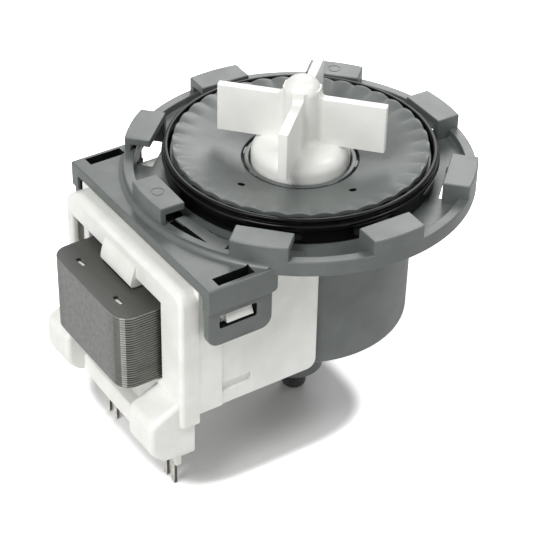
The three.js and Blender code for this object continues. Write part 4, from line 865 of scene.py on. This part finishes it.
@dataclass
class StatorHousing:
    """White moulding round the coils, with the end frame, snaps, connector block, feet and guide posts."""

    end: float = -49.4
    open_end: float = -12.0
    half_width: float = 26.05
    bottom: float = 28.4
    top: float = 63.3
    frame_half_width: float = 26.45
    frame_bottom: float = 25.3
    frame_back: float = -44.6
    shoulder: float = 5.0
    wall: float = 1.5
    block_bottom: float = 16.8
    block_half_width: float = 25.3
    foot_inner: float = 14.5
    foot_front: float = -57.0
    core_bottom: float = 34.5
    core_top: float = 54.3
    opening_y: Span = (-17.3, 23.4)
    opening_under: float = 0.4
    opening_over: float = 2.3

    def shell(self) -> Shape:
        """Makes the box round the coils, with a raised panel at the end of each side."""
        outline = [
            (self.frame_back - 0.2, self.bottom), (self.open_end, self.bottom, 2.5),
            (self.open_end, self.top, 0.4), (self.frame_back - 0.2, self.top),
        ]
        shell = Shape.prism(outline, (-self.half_width, self.half_width), Axis.Y, 8).softened(0.35)
        z = (self.bottom + 0.1, self.top - 0.1)
        panel = Shape.block((self.frame_back - 0.1, -38.4), (-26.35, 26.35), z).softened(0.15)
        return shell.add(panel)

    def shoulder_cut(self) -> Shape:
        """Makes the cutter that rounds the far upper corner behind the end frame."""
        y, z = self.frame_half_width - self.shoulder, self.top - self.shoulder
        outline = [(y, z), (y, z + 8), (y + 8, z + 8), (y + 8, z)]
        corner = Shape.prism(outline, (self.end - 1, self.frame_back), Axis.X)
        rod = Shape.rod(self.shoulder, (self.end - 2, self.frame_back + 1)).turned(90, "Y")
        return corner.cut(rod.moved(y=y, z=z))

    def end_frame(self) -> Shape:
        """Makes the end frame with its two pillars."""
        side = self.frame_half_width
        outline = [
            (-side, self.frame_bottom, 1.2), (side, self.frame_bottom, 1.2),
            (side, self.top, self.shoulder), (-side, self.top, 3.2),
        ]
        frame = Shape.prism(outline, (self.end, self.frame_back), Axis.X, 12)
        return frame.softened(2.0, lambda at, _: abs(at.x - self.end) < ON_PLANE, 8)

    def tooth(self) -> Shape:
        """Makes the tooth that leans out from the frame and reaches over the core's top."""
        low, high = self.core_top + 0.5, self.top - 0.7
        outline = [
            (self.end + self.wall + 1, low), (self.end + self.wall + 1, high),
            (self.end + 0.55, high, 0.5), (self.end - 1.5, low + 2.2, 3.0), (self.end - 1.6, low, 0.9),
        ]
        return Shape.prism(outline, (-7.2, 6.8), Axis.Y, 8).softened(1.9, self.on_tooth_side, 8)

    def on_tooth_side(self, at: Vector, way: Vector) -> bool:
        """Tells whether an edge's middle lies on the visible rim of the tooth's ends."""
        return at.x < self.end + self.wall - ON_PLANE and abs(way.y) < 0.5

    def opening_z(self) -> Span:
        """Gives the heights of the opening's lower and upper edge."""
        return self.core_bottom - self.opening_under, self.core_top + self.opening_over

    def opening(self) -> Shape:
        """Makes the cutter of the core's opening."""
        return Shape.block((self.end - 1, self.end + self.wall + 1), self.opening_y, self.opening_z())

    def foot(self) -> Shape:
        """Makes the connector foot on the -Y side."""
        outline = [
            (-47.9, self.block_bottom), (-47.9, 32.5), (self.end, 32.5, 0.5),
            (self.foot_front, 28.9, 1.6), (self.foot_front, self.block_bottom + 3.6, 1.6),
            (self.foot_front + 3.6, self.block_bottom, 1.2),
        ]
        foot = Shape.prism(outline, (-self.block_half_width, -self.foot_inner), Axis.Y, 5)
        return foot.softened(1.3, lambda at, _: at.x < -48.0, 6)

    def snap(self) -> Shape:
        """Makes the snap that shows in the clip arm's window."""
        outline = [(-25.3, 55.0), (-25.3, 57.9), (-28.4, 57.9, 0.4), (-30.0, 55.0, 0.4)]
        return Shape.prism(outline, (-39.4, -32.4), Axis.X).softened(0.8, lambda at, _: at.y < -28.0, 5)

    def connector(self) -> Shape:
        """Makes the connector block with the bar between the feet."""
        z = (self.block_bottom, self.bottom + 0.6)
        y = (-self.block_half_width, self.block_half_width)
        wide = Shape.block((self.end + 0.2, -45.1), y, z).softened(0.5)
        thick = Shape.block((self.end + 0.2, -43.4), (-21, 21), z).softened(0.4)
        reach = self.foot_inner + 0.6
        section = [(-reach, 15.8), (4.0, 15.8, 6.0)]
        section += [(reach, self.block_bottom), (reach, 21.7), (-reach, 21.7)]
        bar = Shape.prism(section, (-52.6, self.end + 1), Axis.X)
        web = Shape.block((self.end, -47.0), (-reach, reach), (16.9, 33.0))
        return wide.add(thick, bar.softened(0.5), web)

    def post(self) -> Shape:
        """Makes the guide post beside the terminal on the -Y side."""
        return Shape.block((-46.3, -44.7), (-18.15, -17.05), (7.0, 18)).softened(0.25)

    def terminal_slot(self) -> Shape:
        """Makes the cutter of the terminal's slot on the -Y side."""
        return Shape.block((-46.2, -44.8), (-17.05, -11.15), (10, 31))

    def ledge_slot(self) -> Shape:
        """Makes the cutter of the slot above the ledge on the -Y side."""
        slot = Shape.block((-38.4, -30.4), (-28, -25.05), (32.2, 34.8))
        return slot.softened(0.4, lambda _, way: abs(way.y) > ALONG)

    def build(self) -> None:
        """Builds the housing."""
        room = Shape.block((self.end + self.wall, 0), (-24.55, 24.55), (29.7, self.top - self.wall))
        rib = Shape.block((self.end + 1, self.end + 2.5), (17.05, 19.45), (33, 57.6)).softened(0.3)
        shell = self.shell().cut(self.shoulder_cut()).add(self.end_frame())
        hollow = shell.cut(room, self.opening())
        hollow.softened(0.9, self.on_opening, 5)
        snap, foot, post = self.snap(), self.foot(), self.post()
        added = [snap, snap.mirrored(), foot, foot.mirrored(), self.connector(), post, post.mirrored()]
        whole = hollow.add(rib, self.tooth(), *added)
        slots = [self.ledge_slot(), self.terminal_slot()]
        whole = whole.cut(*slots, *(slot.mirrored() for slot in slots))
        Piece("stator_housing_moulding", WHITE_PLASTIC, "white_plastic", ("stator_housing",)).make(whole)

    def on_opening(self, at: Vector, _: Vector) -> bool:
        """Tells whether an edge's middle lies on the front rim of the core's opening."""
        (left, right), (low, high) = self.opening_y, self.opening_z()
        inside = left - MARGIN < at.y < right + MARGIN and low - MARGIN < at.z < high + MARGIN
        return abs(at.x - self.end) < ON_PLANE and inside


@dataclass
class CoreStack:
    """Laminated core: a stack of punched U-shaped sheets held by two interlocks."""

    sheet: float = 0.66
    count: int = 30
    groove: float = 0.16
    bottom: float = 34.5
    end: float = -59.0
    half_width: float = 16.45
    leg_inner: float = 6.6
    pole_end: float = 10.0
    pole_radius: float = 11.6
    clinch_x: float = -55.0
    clinch_y: float = 8.7
    clinch_half: Span = (0.65, 1.7)
    yoke: float = 8.5
    corner: float = 4.0
    painted_glint_band: Span = (-0.8, -0.6)  # share of the face's direction that points to -X; faces in this band round the corner get the painted glint

    def outline_sheet(self) -> Shape:
        """Makes one punched sheet. Its edges are rounded off, apart from the dressed end."""
        outline = [
            (self.pole_end, -self.half_width), (self.pole_end, -self.leg_inner),
            (self.end + self.yoke, -self.leg_inner), (self.end + self.yoke, self.leg_inner),
            (self.pole_end, self.leg_inner), (self.pole_end, self.half_width),
            (self.end, self.half_width, self.corner), (self.end, -self.half_width, self.corner),
        ]
        z = (self.bottom, self.bottom + self.sheet)
        sheet = Shape.prism(outline, z, steps=10)
        sheet = sheet.cut(Shape.rod(self.pole_radius, (30, 60)))
        return sheet.softened(self.groove, lambda at, way: abs(way.z) < 0.5 and at.x > self.end + ON_PLANE, 2)

    def clinch(self, side: int) -> Shape:
        """Makes the cutter of an interlock's oval mark in the top sheet."""
        x, y, (wide, long) = self.clinch_x, side * self.clinch_y, self.clinch_half
        outline = [
            (x + i * wide, y + j * long, 0.4) for i, j in ((-1, -1), (1, -1), (1, 1), (-1, 1))
        ]
        return Shape.prism(outline, (self.bottom - 5, self.bottom + 5))

    def build(self) -> None:
        """Builds the stack and the bright steps in its interlocks."""
        plain = self.outline_sheet()
        pierced = plain.cut(self.clinch(1), self.clinch(-1))
        stack = bmesh.new()
        mesh = bpy.data.meshes.new("sheet")
        for i in range(self.count):
            one = (pierced if i == self.count - 1 else plain).copy().moved(z=i * self.sheet)
            one.bm.to_mesh(mesh)
            stack.from_mesh(mesh)
        bpy.data.meshes.remove(mesh)
        core = Piece("core_stack", SHEET_EDGES, "core_steel", ("laminated_core",)).make(Shape.raw(stack))
        # The varnished steel goes on the tops, the paler painted sheen on the -X end, and the painted glint
        # on a band round the corner.
        for finish in (VARNISHED_STEEL, END_STEEL_PAINTED_SHEEN, GLINT_PAINTED_EDGES):
            core.data.materials.append(finish.material())
        low, high = self.painted_glint_band
        for face in core.data.polygons:
            across = math.hypot(face.normal.x, face.normal.y)
            if abs(face.normal.z) > FLAT:
                face.material_index = 1
            elif face.normal.x < -FLAT:
                face.material_index = 2
            elif low * across < face.normal.x < high * across:
                face.material_index = 3
        top = self.bottom + self.count * self.sheet
        for name, side in (("far", 1), ("near", -1)):
            step = Shape.block((-0.35, 0.35), (-1.3, 1.3), (-0.2, 0.05)).softened(0.08)
            step.turned(-9, "X").moved(self.clinch_x - 0.1, side * self.clinch_y - 0.2, top - 0.3)
            Piece(f"clinch_{name}", BRIGHT_STEEL, "core_steel").make(step)


@dataclass
class Terminals:
    """Two tinned terminals, each with two round-tipped prongs."""

    x: float = -45.5
    thickness: float = 0.8
    middle: float = 14.1
    half_width: float = 2.65
    prong: float = 1.7
    slot_top: float = 9.0
    top: float = 33.0
    tip: float = 0.84
    slot_tip: float = 0.94

    def build(self) -> None:
        """Builds both terminals."""
        m, h, p = self.middle, self.half_width, self.prong
        outline = [
            (m + h, self.top), (m - h, self.top), (m - h, 0, self.tip), (m - h + p, 0, self.tip),
            (m - h + p, self.slot_top, self.slot_tip), (m + h - p, self.slot_top, self.slot_tip),
            (m + h - p, 0, self.tip), (m + h, 0, self.tip),
        ]
        x = (self.x - self.thickness / 2, self.x + self.thickness / 2)
        far = Shape.prism(outline, x, Axis.X, 6).softened(0.2)
        near = far.mirrored()
        for name, shape in (("terminal_far", far), ("terminal_near", near)):
            made = Piece(f"{name}_tinned", TIN_PLATE, "tinned_brass", (name,)).make(shape)
            made.data.materials.append(PUNCHED_BRASS.material())
            for face in made.data.polygons:
                face.material_index = 0 if abs(face.normal.x) > ALONG else 1


@dataclass
class CoverDisc:
    """Conical grey disc with a scalloped rim, the bearing's tube under it, and the hair guard ring."""

    radius: float = 30.4
    rim_top: float = 73.6
    hub_top: float = 69.3
    seat_outer: float = 14.0
    seat: float = 67.7
    well: float = 12.1
    well_floor: float = 66.4
    thickness: float = 1.4
    waves: int = 36
    wave_height: float = 0.3
    wave_phase: float = 5.0
    pleat_start: float = 25.4
    pleat_bottom: float = 69.0
    pleat_fade: float = 1.3
    hole_radius: float = 0.9
    hole_circle: float = 20.3
    hole_depth: float = 1.1
    hole_angles: Span = (-88.0, -166.5)

    def top(self, radius: float) -> float:
        """Gives the height of the cone at a radius."""
        slope = (self.rim_top - self.hub_top) / (self.radius - self.seat_outer)
        return self.rim_top - (self.radius - radius) * slope

    def profile(self) -> list[Corner]:
        """Lists the section of the whole disc, from the cone's inner edge outwards and back under it."""
        cone = [(r, self.top(r)) for r in (24.0, 26.2, 27.0, 27.8, 28.6, 29.4, 30.0)]
        under = [(r, self.top(r) - self.thickness) for r in (30.0, 29.2, 28.3)]
        inner = [(27.4, self.top(27.4) - self.thickness), (24.0, self.top(24.0) - self.thickness)]
        return [
            (self.seat_outer, self.top(self.seat_outer), 0.2), *cone,
            (self.radius, self.rim_top - 0.1, 0.2), (self.radius, self.rim_top - self.thickness, 0.2),
            *under, (28.3, 66.6, 0.2), (27.4, 66.6, 0.2), *inner, (15.4, self.top(15.4) - self.thickness),
            (15.4, 65.1), (9.9, 65.1), (9.9, 62.8), (8.35, 62.8), (8.35, 60.8), (9.9, 60.8),
            (9.9, 57.2, 0.3), (5.8, 57.2, 0.3), (5.8, 62.1), (2.2, 62.1), (2.2, 63.3), (5.8, 63.3),
            (5.8, self.well_floor), (self.well, self.well_floor, 0.3), (self.well, self.seat),
            (self.seat_outer, self.seat),
        ]

    def pleated(self, shape: Shape) -> Shape:
        """Raises and lowers the rim in arches that meet in narrow dips, fading out inwards."""
        for vert in shape.bm.verts:
            radius = vert.co.xy.length
            if radius <= self.pleat_start or vert.co.z < self.pleat_bottom:
                continue
            share = min(1.0, (radius - self.pleat_start) / (self.radius - self.pleat_start))
            angle = math.degrees(math.atan2(vert.co.y, vert.co.x)) - self.wave_phase
            arch = abs(math.cos(math.radians(angle * self.waves / 2)))
            vert.co.z += self.wave_height * (2 * arch - 1.2) * share**self.pleat_fade
        return shape

    def hair_guard(self) -> Shape:
        """Makes the thin ring round the impeller, with its snap tabs."""
        inner, outer, z = self.well + 0.15, self.well + 1.25, (self.seat + 0.3, self.hub_top)
        ring = Shape.spun([(inner, z[0]), (outer, z[0]), (outer, z[1], 0.2), (inner, z[1], 0.25)])
        near, far, top = outer - 0.5, outer + 0.35, z[1] - 0.05
        tab = [(near, z[0]), (far, z[0]), (far, top), (near, top)]
        tabs = [Shape.spun(tab, 8, FULL_TURN / 8 * i - 6, 12) for i in range(8)]
        return ring.add(*tabs)

    def build(self) -> None:
        """Builds the disc and the ring."""
        disc = self.pleated(Shape.spun(self.profile(), 360))
        drills, boxes = [], []
        for angle in self.hole_angles:
            x, y = on_circle(self.hole_circle, angle)
            top = self.top(self.hole_circle)
            drill = Shape.rod(self.hole_radius, (top - self.hole_depth, top + 1), 32)
            drills.append(drill.moved(x, y))
            # Each hole's wall and floor get the near-black painted shade.
            reach = self.hole_radius + 0.02
            z = (top - self.hole_depth - 0.2, top - 0.35)
            boxes.append(((x - reach, x + reach), (y - reach, y + reach), z))
        disc = disc.cut(*drills)
        Piece(
            "cover_disc_moulding", GREY_PLASTIC, "grey_plastic", ("cover_disc",), painted_shade=PAINTED_SHADE_PLASTIC,
            painted_shade_boxes=tuple(boxes),
        ).make(disc)
        guard = Piece("hair_guard_moulding", GREY_PLASTIC, "grey_plastic", ("hair_guard_ring",))
        guard.make(self.hair_guard())


@dataclass
class Gasket:
    """Black rubber gasket round the spigot, with two round lips."""

    inner: float = 31.3
    wall: float = 32.2
    bottom: float = 66.7
    top: float = 73.2

    def build(self) -> None:
        """Builds the gasket."""
        shape = Shape.spun([
            (self.inner, self.bottom), (self.wall + 0.1, self.bottom, 0.4), (self.wall - 0.1, 70.3, 0.4),
            (self.wall + 0.75, 70.6, 0.3), (self.wall + 0.75, 71.7, 0.5), (self.wall - 0.1, 71.8, 0.15),
            (self.wall + 0.25, 72.2, 0.25), (self.wall + 0.25, self.top, 0.45),
            (self.inner, self.top, 0.4),
        ], corner=5)
        Piece("flange_gasket_rubber", BLACK_RUBBER, "black_rubber", ("flange_gasket",)).make(shape)


@dataclass
class Impeller:
    """White impeller: four straight blades on a domed neck, with the bowl that holds the coupling."""

    blade_bottom: float = 74.3
    blade_top: float = 86.3
    thickness: float = 2.2
    phase: float = -47.65
    long_blade: float = 20.2
    short_blade: float = 18.5
    neck: float = 4.35
    neck_top: float = 91.0
    bowl: float = 11.8
    bowl_bottom: float = 67.6
    room_bottom: float = 68.9
    room_top: float = 72.4
    root_half: float = 1.933
    root_end: float = 3.896
    flare_start: float = 4.309
    dog_room: Span = (3.2, 9.8)
    lug_end: float = 110.0

    def hub(self) -> Shape:
        """Makes the neck with its dome, and the bowl with its soft shoulder."""
        return Shape.spun([
            (0, self.bowl_bottom), (self.bowl, self.bowl_bottom, 0.2),
            (self.bowl, self.blade_bottom, 3.6), (self.neck, self.blade_bottom + 0.3, 1.6),
            (self.neck, self.neck_top, 3.6), (0, self.neck_top),
        ], SMALL_STEPS, corner=10)

    def blade(self, radius: float) -> Shape:
        """Makes a blade along +X whose root flares into the neck."""
        half = self.thickness / 2
        plan = [
            (0, -self.root_half), (self.root_end, -self.root_half), (self.flare_start, -half, 0.9),
            (radius, -half, 0.35), (radius, half, 0.35), (self.flare_start, half, 0.9),
            (self.root_end, self.root_half), (0, self.root_half),
        ]
        body = Shape.prism(plan, (self.blade_bottom - 1, self.neck_top - 1), steps=5)
        side = [
            (0, self.blade_bottom - 0.6), (9.0, self.blade_bottom - 0.6), (9.0, self.blade_bottom, 0.5),
            (radius + 1, self.blade_bottom), (radius + 1, self.blade_top),
            (self.neck, self.blade_top, 1.3), (self.neck, self.blade_top + 2.4),
            (0, self.blade_top + 2.4),
        ]
        kept = body.keep(Shape.prism(side, (-5, 5), Axis.Y, 6))
        return kept.flat_merged().softened(0.35, lambda at, _: at.x > 5.6)

    def drive_room(self) -> Shape:
        """Makes the cutter of the room for the coupling's dog, with its lug left standing."""
        z = (self.room_bottom, self.room_top)
        inner, outer = self.dog_room
        profile = [(inner, z[0]), (outer, z[0]), (outer, z[1]), (inner, z[1])]
        room = Shape.spun(profile, 64, -self.lug_end, 2 * self.lug_end)
        hub = Shape.rod(3.6, z, 48)
        seat = Shape.rod(self.bowl - 0.8, (self.bowl_bottom - 1, self.room_bottom))
        bore = Shape.rod(1.8, (self.bowl_bottom - 1, 87.7), 32)
        return room.add(hub, seat, bore)

    def build(self) -> None:
        """Builds the impeller."""
        radii = [self.long_blade, self.short_blade] * 2
        blades = [self.blade(radius).turned(self.phase + 90 * i) for i, radius in enumerate(radii)]
        whole = self.hub().add(*blades).cut(self.drive_room())
        Piece("impeller_moulding", WHITE_ACETAL, "white_plastic", ("impeller",), Body.IMPELLER).make(whole)


def dress_cad_nodes() -> None:
    """Gives the CAD nodes that stay their real finish."""
    finishes = {
        NYLON: ("bobbin_far", "bobbin_near", "rotor_sleeve", "drive_dog", "thermal_fuse"),
        COPPER_WIRE: (
            "coil_far", "coil_near", "lead_wire_far", "lead_wire_near", "link_lead_far", "link_lead_near",
        ),
        BLACK_RUBBER: (
            "chamber_o_ring", "shaft_seal", "front_bearing_holder", "rear_bearing_holder",
            "buffer_pad_left", "buffer_pad_right",
        ),
        GRAPHITE: ("front_bearing", "rear_bearing"),
        GROUND_STEEL: ("rotor_shaft", "front_thrust_washer", "rear_thrust_washer"),
        FERRITE: ("rotor_magnet",),
        WHITE_ACETAL: ("impeller_cap",),
    }
    for finish, names in finishes.items():
        for name in names:
            mesh = frame["nodes"][name].data
            mesh.materials.clear()
            mesh.materials.append(finish.material())
            LOG.info("%s: %s", name, finish.name)


@dataclass
class Studio:
    """Pale floor, soft lamps and the camera at the photograph's place."""

    azimuth: float = -34.16
    elevation: float = 36.03
    roll: float = 1.18
    distance: float = 390.56
    target: tuple[float, float, float] = (-33.42, -37.43, 72.0)
    lens: float = 121.53
    sensor: float = 36.0
    clip: Span = (0.01, 20.0)  # nearest and farthest that the camera sees, in metres
    floor_radius: float = 700.0
    floor_colour: str = "#f4f4f4"
    world_strength: float = 0.05
    floor_gain: float = 2.2
    # Painted shadow under the motor: its gain, middle, half sizes in millimetres, and the reach over which it
    # fades.
    painted_shadow_gain: float = 0.68
    painted_shadow_middle: tuple[float, float] = (-18.0, 6.0)
    painted_shadow_half: tuple[float, float] = (31.0, 30.0)
    painted_shadow_fade: Span = (0.8, 1.15)
    lamp_distance: float = 900.0
    lamp_target: tuple[float, float, float] = (0.0, 0.0, 50.0)

    def directions(self) -> tuple[Vector, Vector, Vector]:
        """Gives the camera's right, up and backward directions."""
        turn, roll = math.radians(self.azimuth), math.radians(self.roll)
        back = direction(self.azimuth, self.elevation)
        right = Vector((math.cos(turn), math.sin(turn), 0.0))
        up = back.cross(right)
        across = math.cos(roll) * right + math.sin(roll) * up
        upward = -math.sin(roll) * right + math.cos(roll) * up
        return across, upward, back

    def camera(self) -> None:
        """Places the camera where the photograph was taken from."""
        right, up, back = self.directions()
        data = bpy.data.cameras.new("camera")
        data.lens, data.sensor_width = self.lens, self.sensor
        data.clip_start, data.clip_end = self.clip
        camera = linked("camera", data)
        place = (Vector(self.target) + back * self.distance) * MM
        turn = Matrix((right, up, back)).transposed().to_4x4()
        camera.matrix_world = Matrix.Translation(place) @ turn
        bpy.context.scene.camera = camera

    def lamp(self, name: str, azimuth: float, elevation: float, size: float, power: float) -> None:
        """Hangs a square soft lamp that faces the pump.

        Args:
            name: Name of the lamp.
            azimuth: Direction seen from above, in degrees, 0 towards -Y and 90 towards +X.
            elevation: Height of the direction above the floor, in degrees.
            size: Side of the lamp in millimetres.
            power: Power in watts.
        """
        back = direction(azimuth, elevation)
        data = bpy.data.lights.new(name, "AREA")
        data.shape, data.size, data.energy = "SQUARE", size * MM, power
        lamp = linked(name, data)
        lamp.location = (Vector(self.lamp_target) + back * self.lamp_distance) * MM
        lamp.rotation_mode = "QUATERNION"
        lamp.rotation_quaternion = back.to_track_quat("Z", "Y")

    def seen_ray(self, tree: bpy.types.NodeTree) -> bpy.types.NodeSocket:
        """Gives 1 for rays that show the background: from the camera, and by gloss or through glass."""
        path = add_node(tree, "ShaderNodeLightPath").outputs
        seen = path["Is Camera Ray"]
        for other in (path["Is Glossy Ray"], path["Is Transmission Ray"]):
            seen = add_node(tree, "ShaderNodeMath", {0: seen, 1: other}, operation="MAXIMUM").outputs[0]
        return seen

    def world(self) -> None:
        """Lights the scene evenly from all sides, with white where the background is seen."""
        world = bpy.data.worlds.new("studio")
        tree = empty_tree(world)
        levels = {0: self.seen_ray(tree), 3: self.world_strength, 4: 1.0}
        strength = add_node(tree, "ShaderNodeMapRange", levels).outputs[0]
        background = add_node(tree, "ShaderNodeBackground", {"Color": (1, 1, 1, 1), "Strength": strength})
        add_node(tree, "ShaderNodeOutputWorld", {"Surface": background.outputs[0]})
        bpy.context.scene.world = world

    def floor_gain_at(self, tree: bpy.types.NodeTree) -> bpy.types.NodeSocket:
        """Gives the floor's brightness to the camera: a painted shadow, darker under the motor, and white
        away from it.
        """
        place = add_node(tree, "ShaderNodeTexCoord").outputs["Object"]
        middle = [-value / half for value, half in zip(self.painted_shadow_middle, self.painted_shadow_half)]
        size = [1 / (half * MM) for half in self.painted_shadow_half]
        drawn = add_node(
            tree, "ShaderNodeMapping", {"Vector": place, "Location": (*middle, 0), "Scale": (*size, 0)}
        ).outputs[0]
        square = add_node(tree, "ShaderNodeVectorMath", {0: drawn, 1: drawn}, operation="MULTIPLY").outputs[0]
        reach = add_node(tree, "ShaderNodeVectorMath", {0: square}, operation="LENGTH").outputs["Value"]
        return add_node(
            tree, "ShaderNodeMapRange",
            {0: reach, 1: self.painted_shadow_fade[0], 2: self.painted_shadow_fade[1], 3: self.painted_shadow_gain, 4: self.floor_gain},
            interpolation_type="SMOOTHSTEP",
        ).outputs[0]

    def floor(self) -> None:
        """Lays the pale floor, which keeps the pump's soft shadow and carries a painted shadow under the
        motor.
        """
        shape = bmesh.new()
        bmesh.ops.create_circle(shape, cap_ends=True, segments=64, radius=self.floor_radius * MM)
        mesh = bpy.data.meshes.new("floor")
        shape.to_mesh(mesh)
        shape.free()
        material = bpy.data.materials.new("pale_floor")
        tree = empty_tree(material)
        seen = add_node(tree, "ShaderNodeLightPath").outputs["Is Camera Ray"]
        colours = {0: seen, 6: linear(self.floor_colour), 7: self.floor_gain_at(tree)}
        colour = add_node(tree, "ShaderNodeMix", colours, data_type="RGBA").outputs[2]
        paint = add_node(tree, "ShaderNodeBsdfDiffuse", {"Color": colour})
        add_node(tree, "ShaderNodeOutputMaterial", {"Surface": paint.outputs[0]})
        mesh.materials.append(material)
        made = linked("floor", mesh)

    def build(self) -> None:
        """Builds the whole studio."""
        bpy.context.scene.view_settings.view_transform = "Standard"
        self.camera()
        self.world()
        self.floor()
        self.lamp("left_key", -70, 52, 350, 5.9)
        self.lamp("left_fill", -84, 12, 500, 2.3)
        self.lamp("right_key", 52, 48, 300, 2.5)
        self.lamp("behind", 138, 35, 450, 2.9)
        self.lamp("front_fill", 8, 12, 400, 1.1)


def main() -> None:
    """Builds the studio and every piece of the pump."""
    logging.basicConfig(level=logging.INFO, format="%(name)s: %(message)s")
    Studio().build()
    for kind in (PumpBody, FootPlug, StatorHousing, CoreStack, Terminals, CoverDisc, Gasket, Impeller):
        LOG.info("building %s", kind.__name__)
        kind().build()
    dress_cad_nodes()


if __name__ == "__main__":
    main()
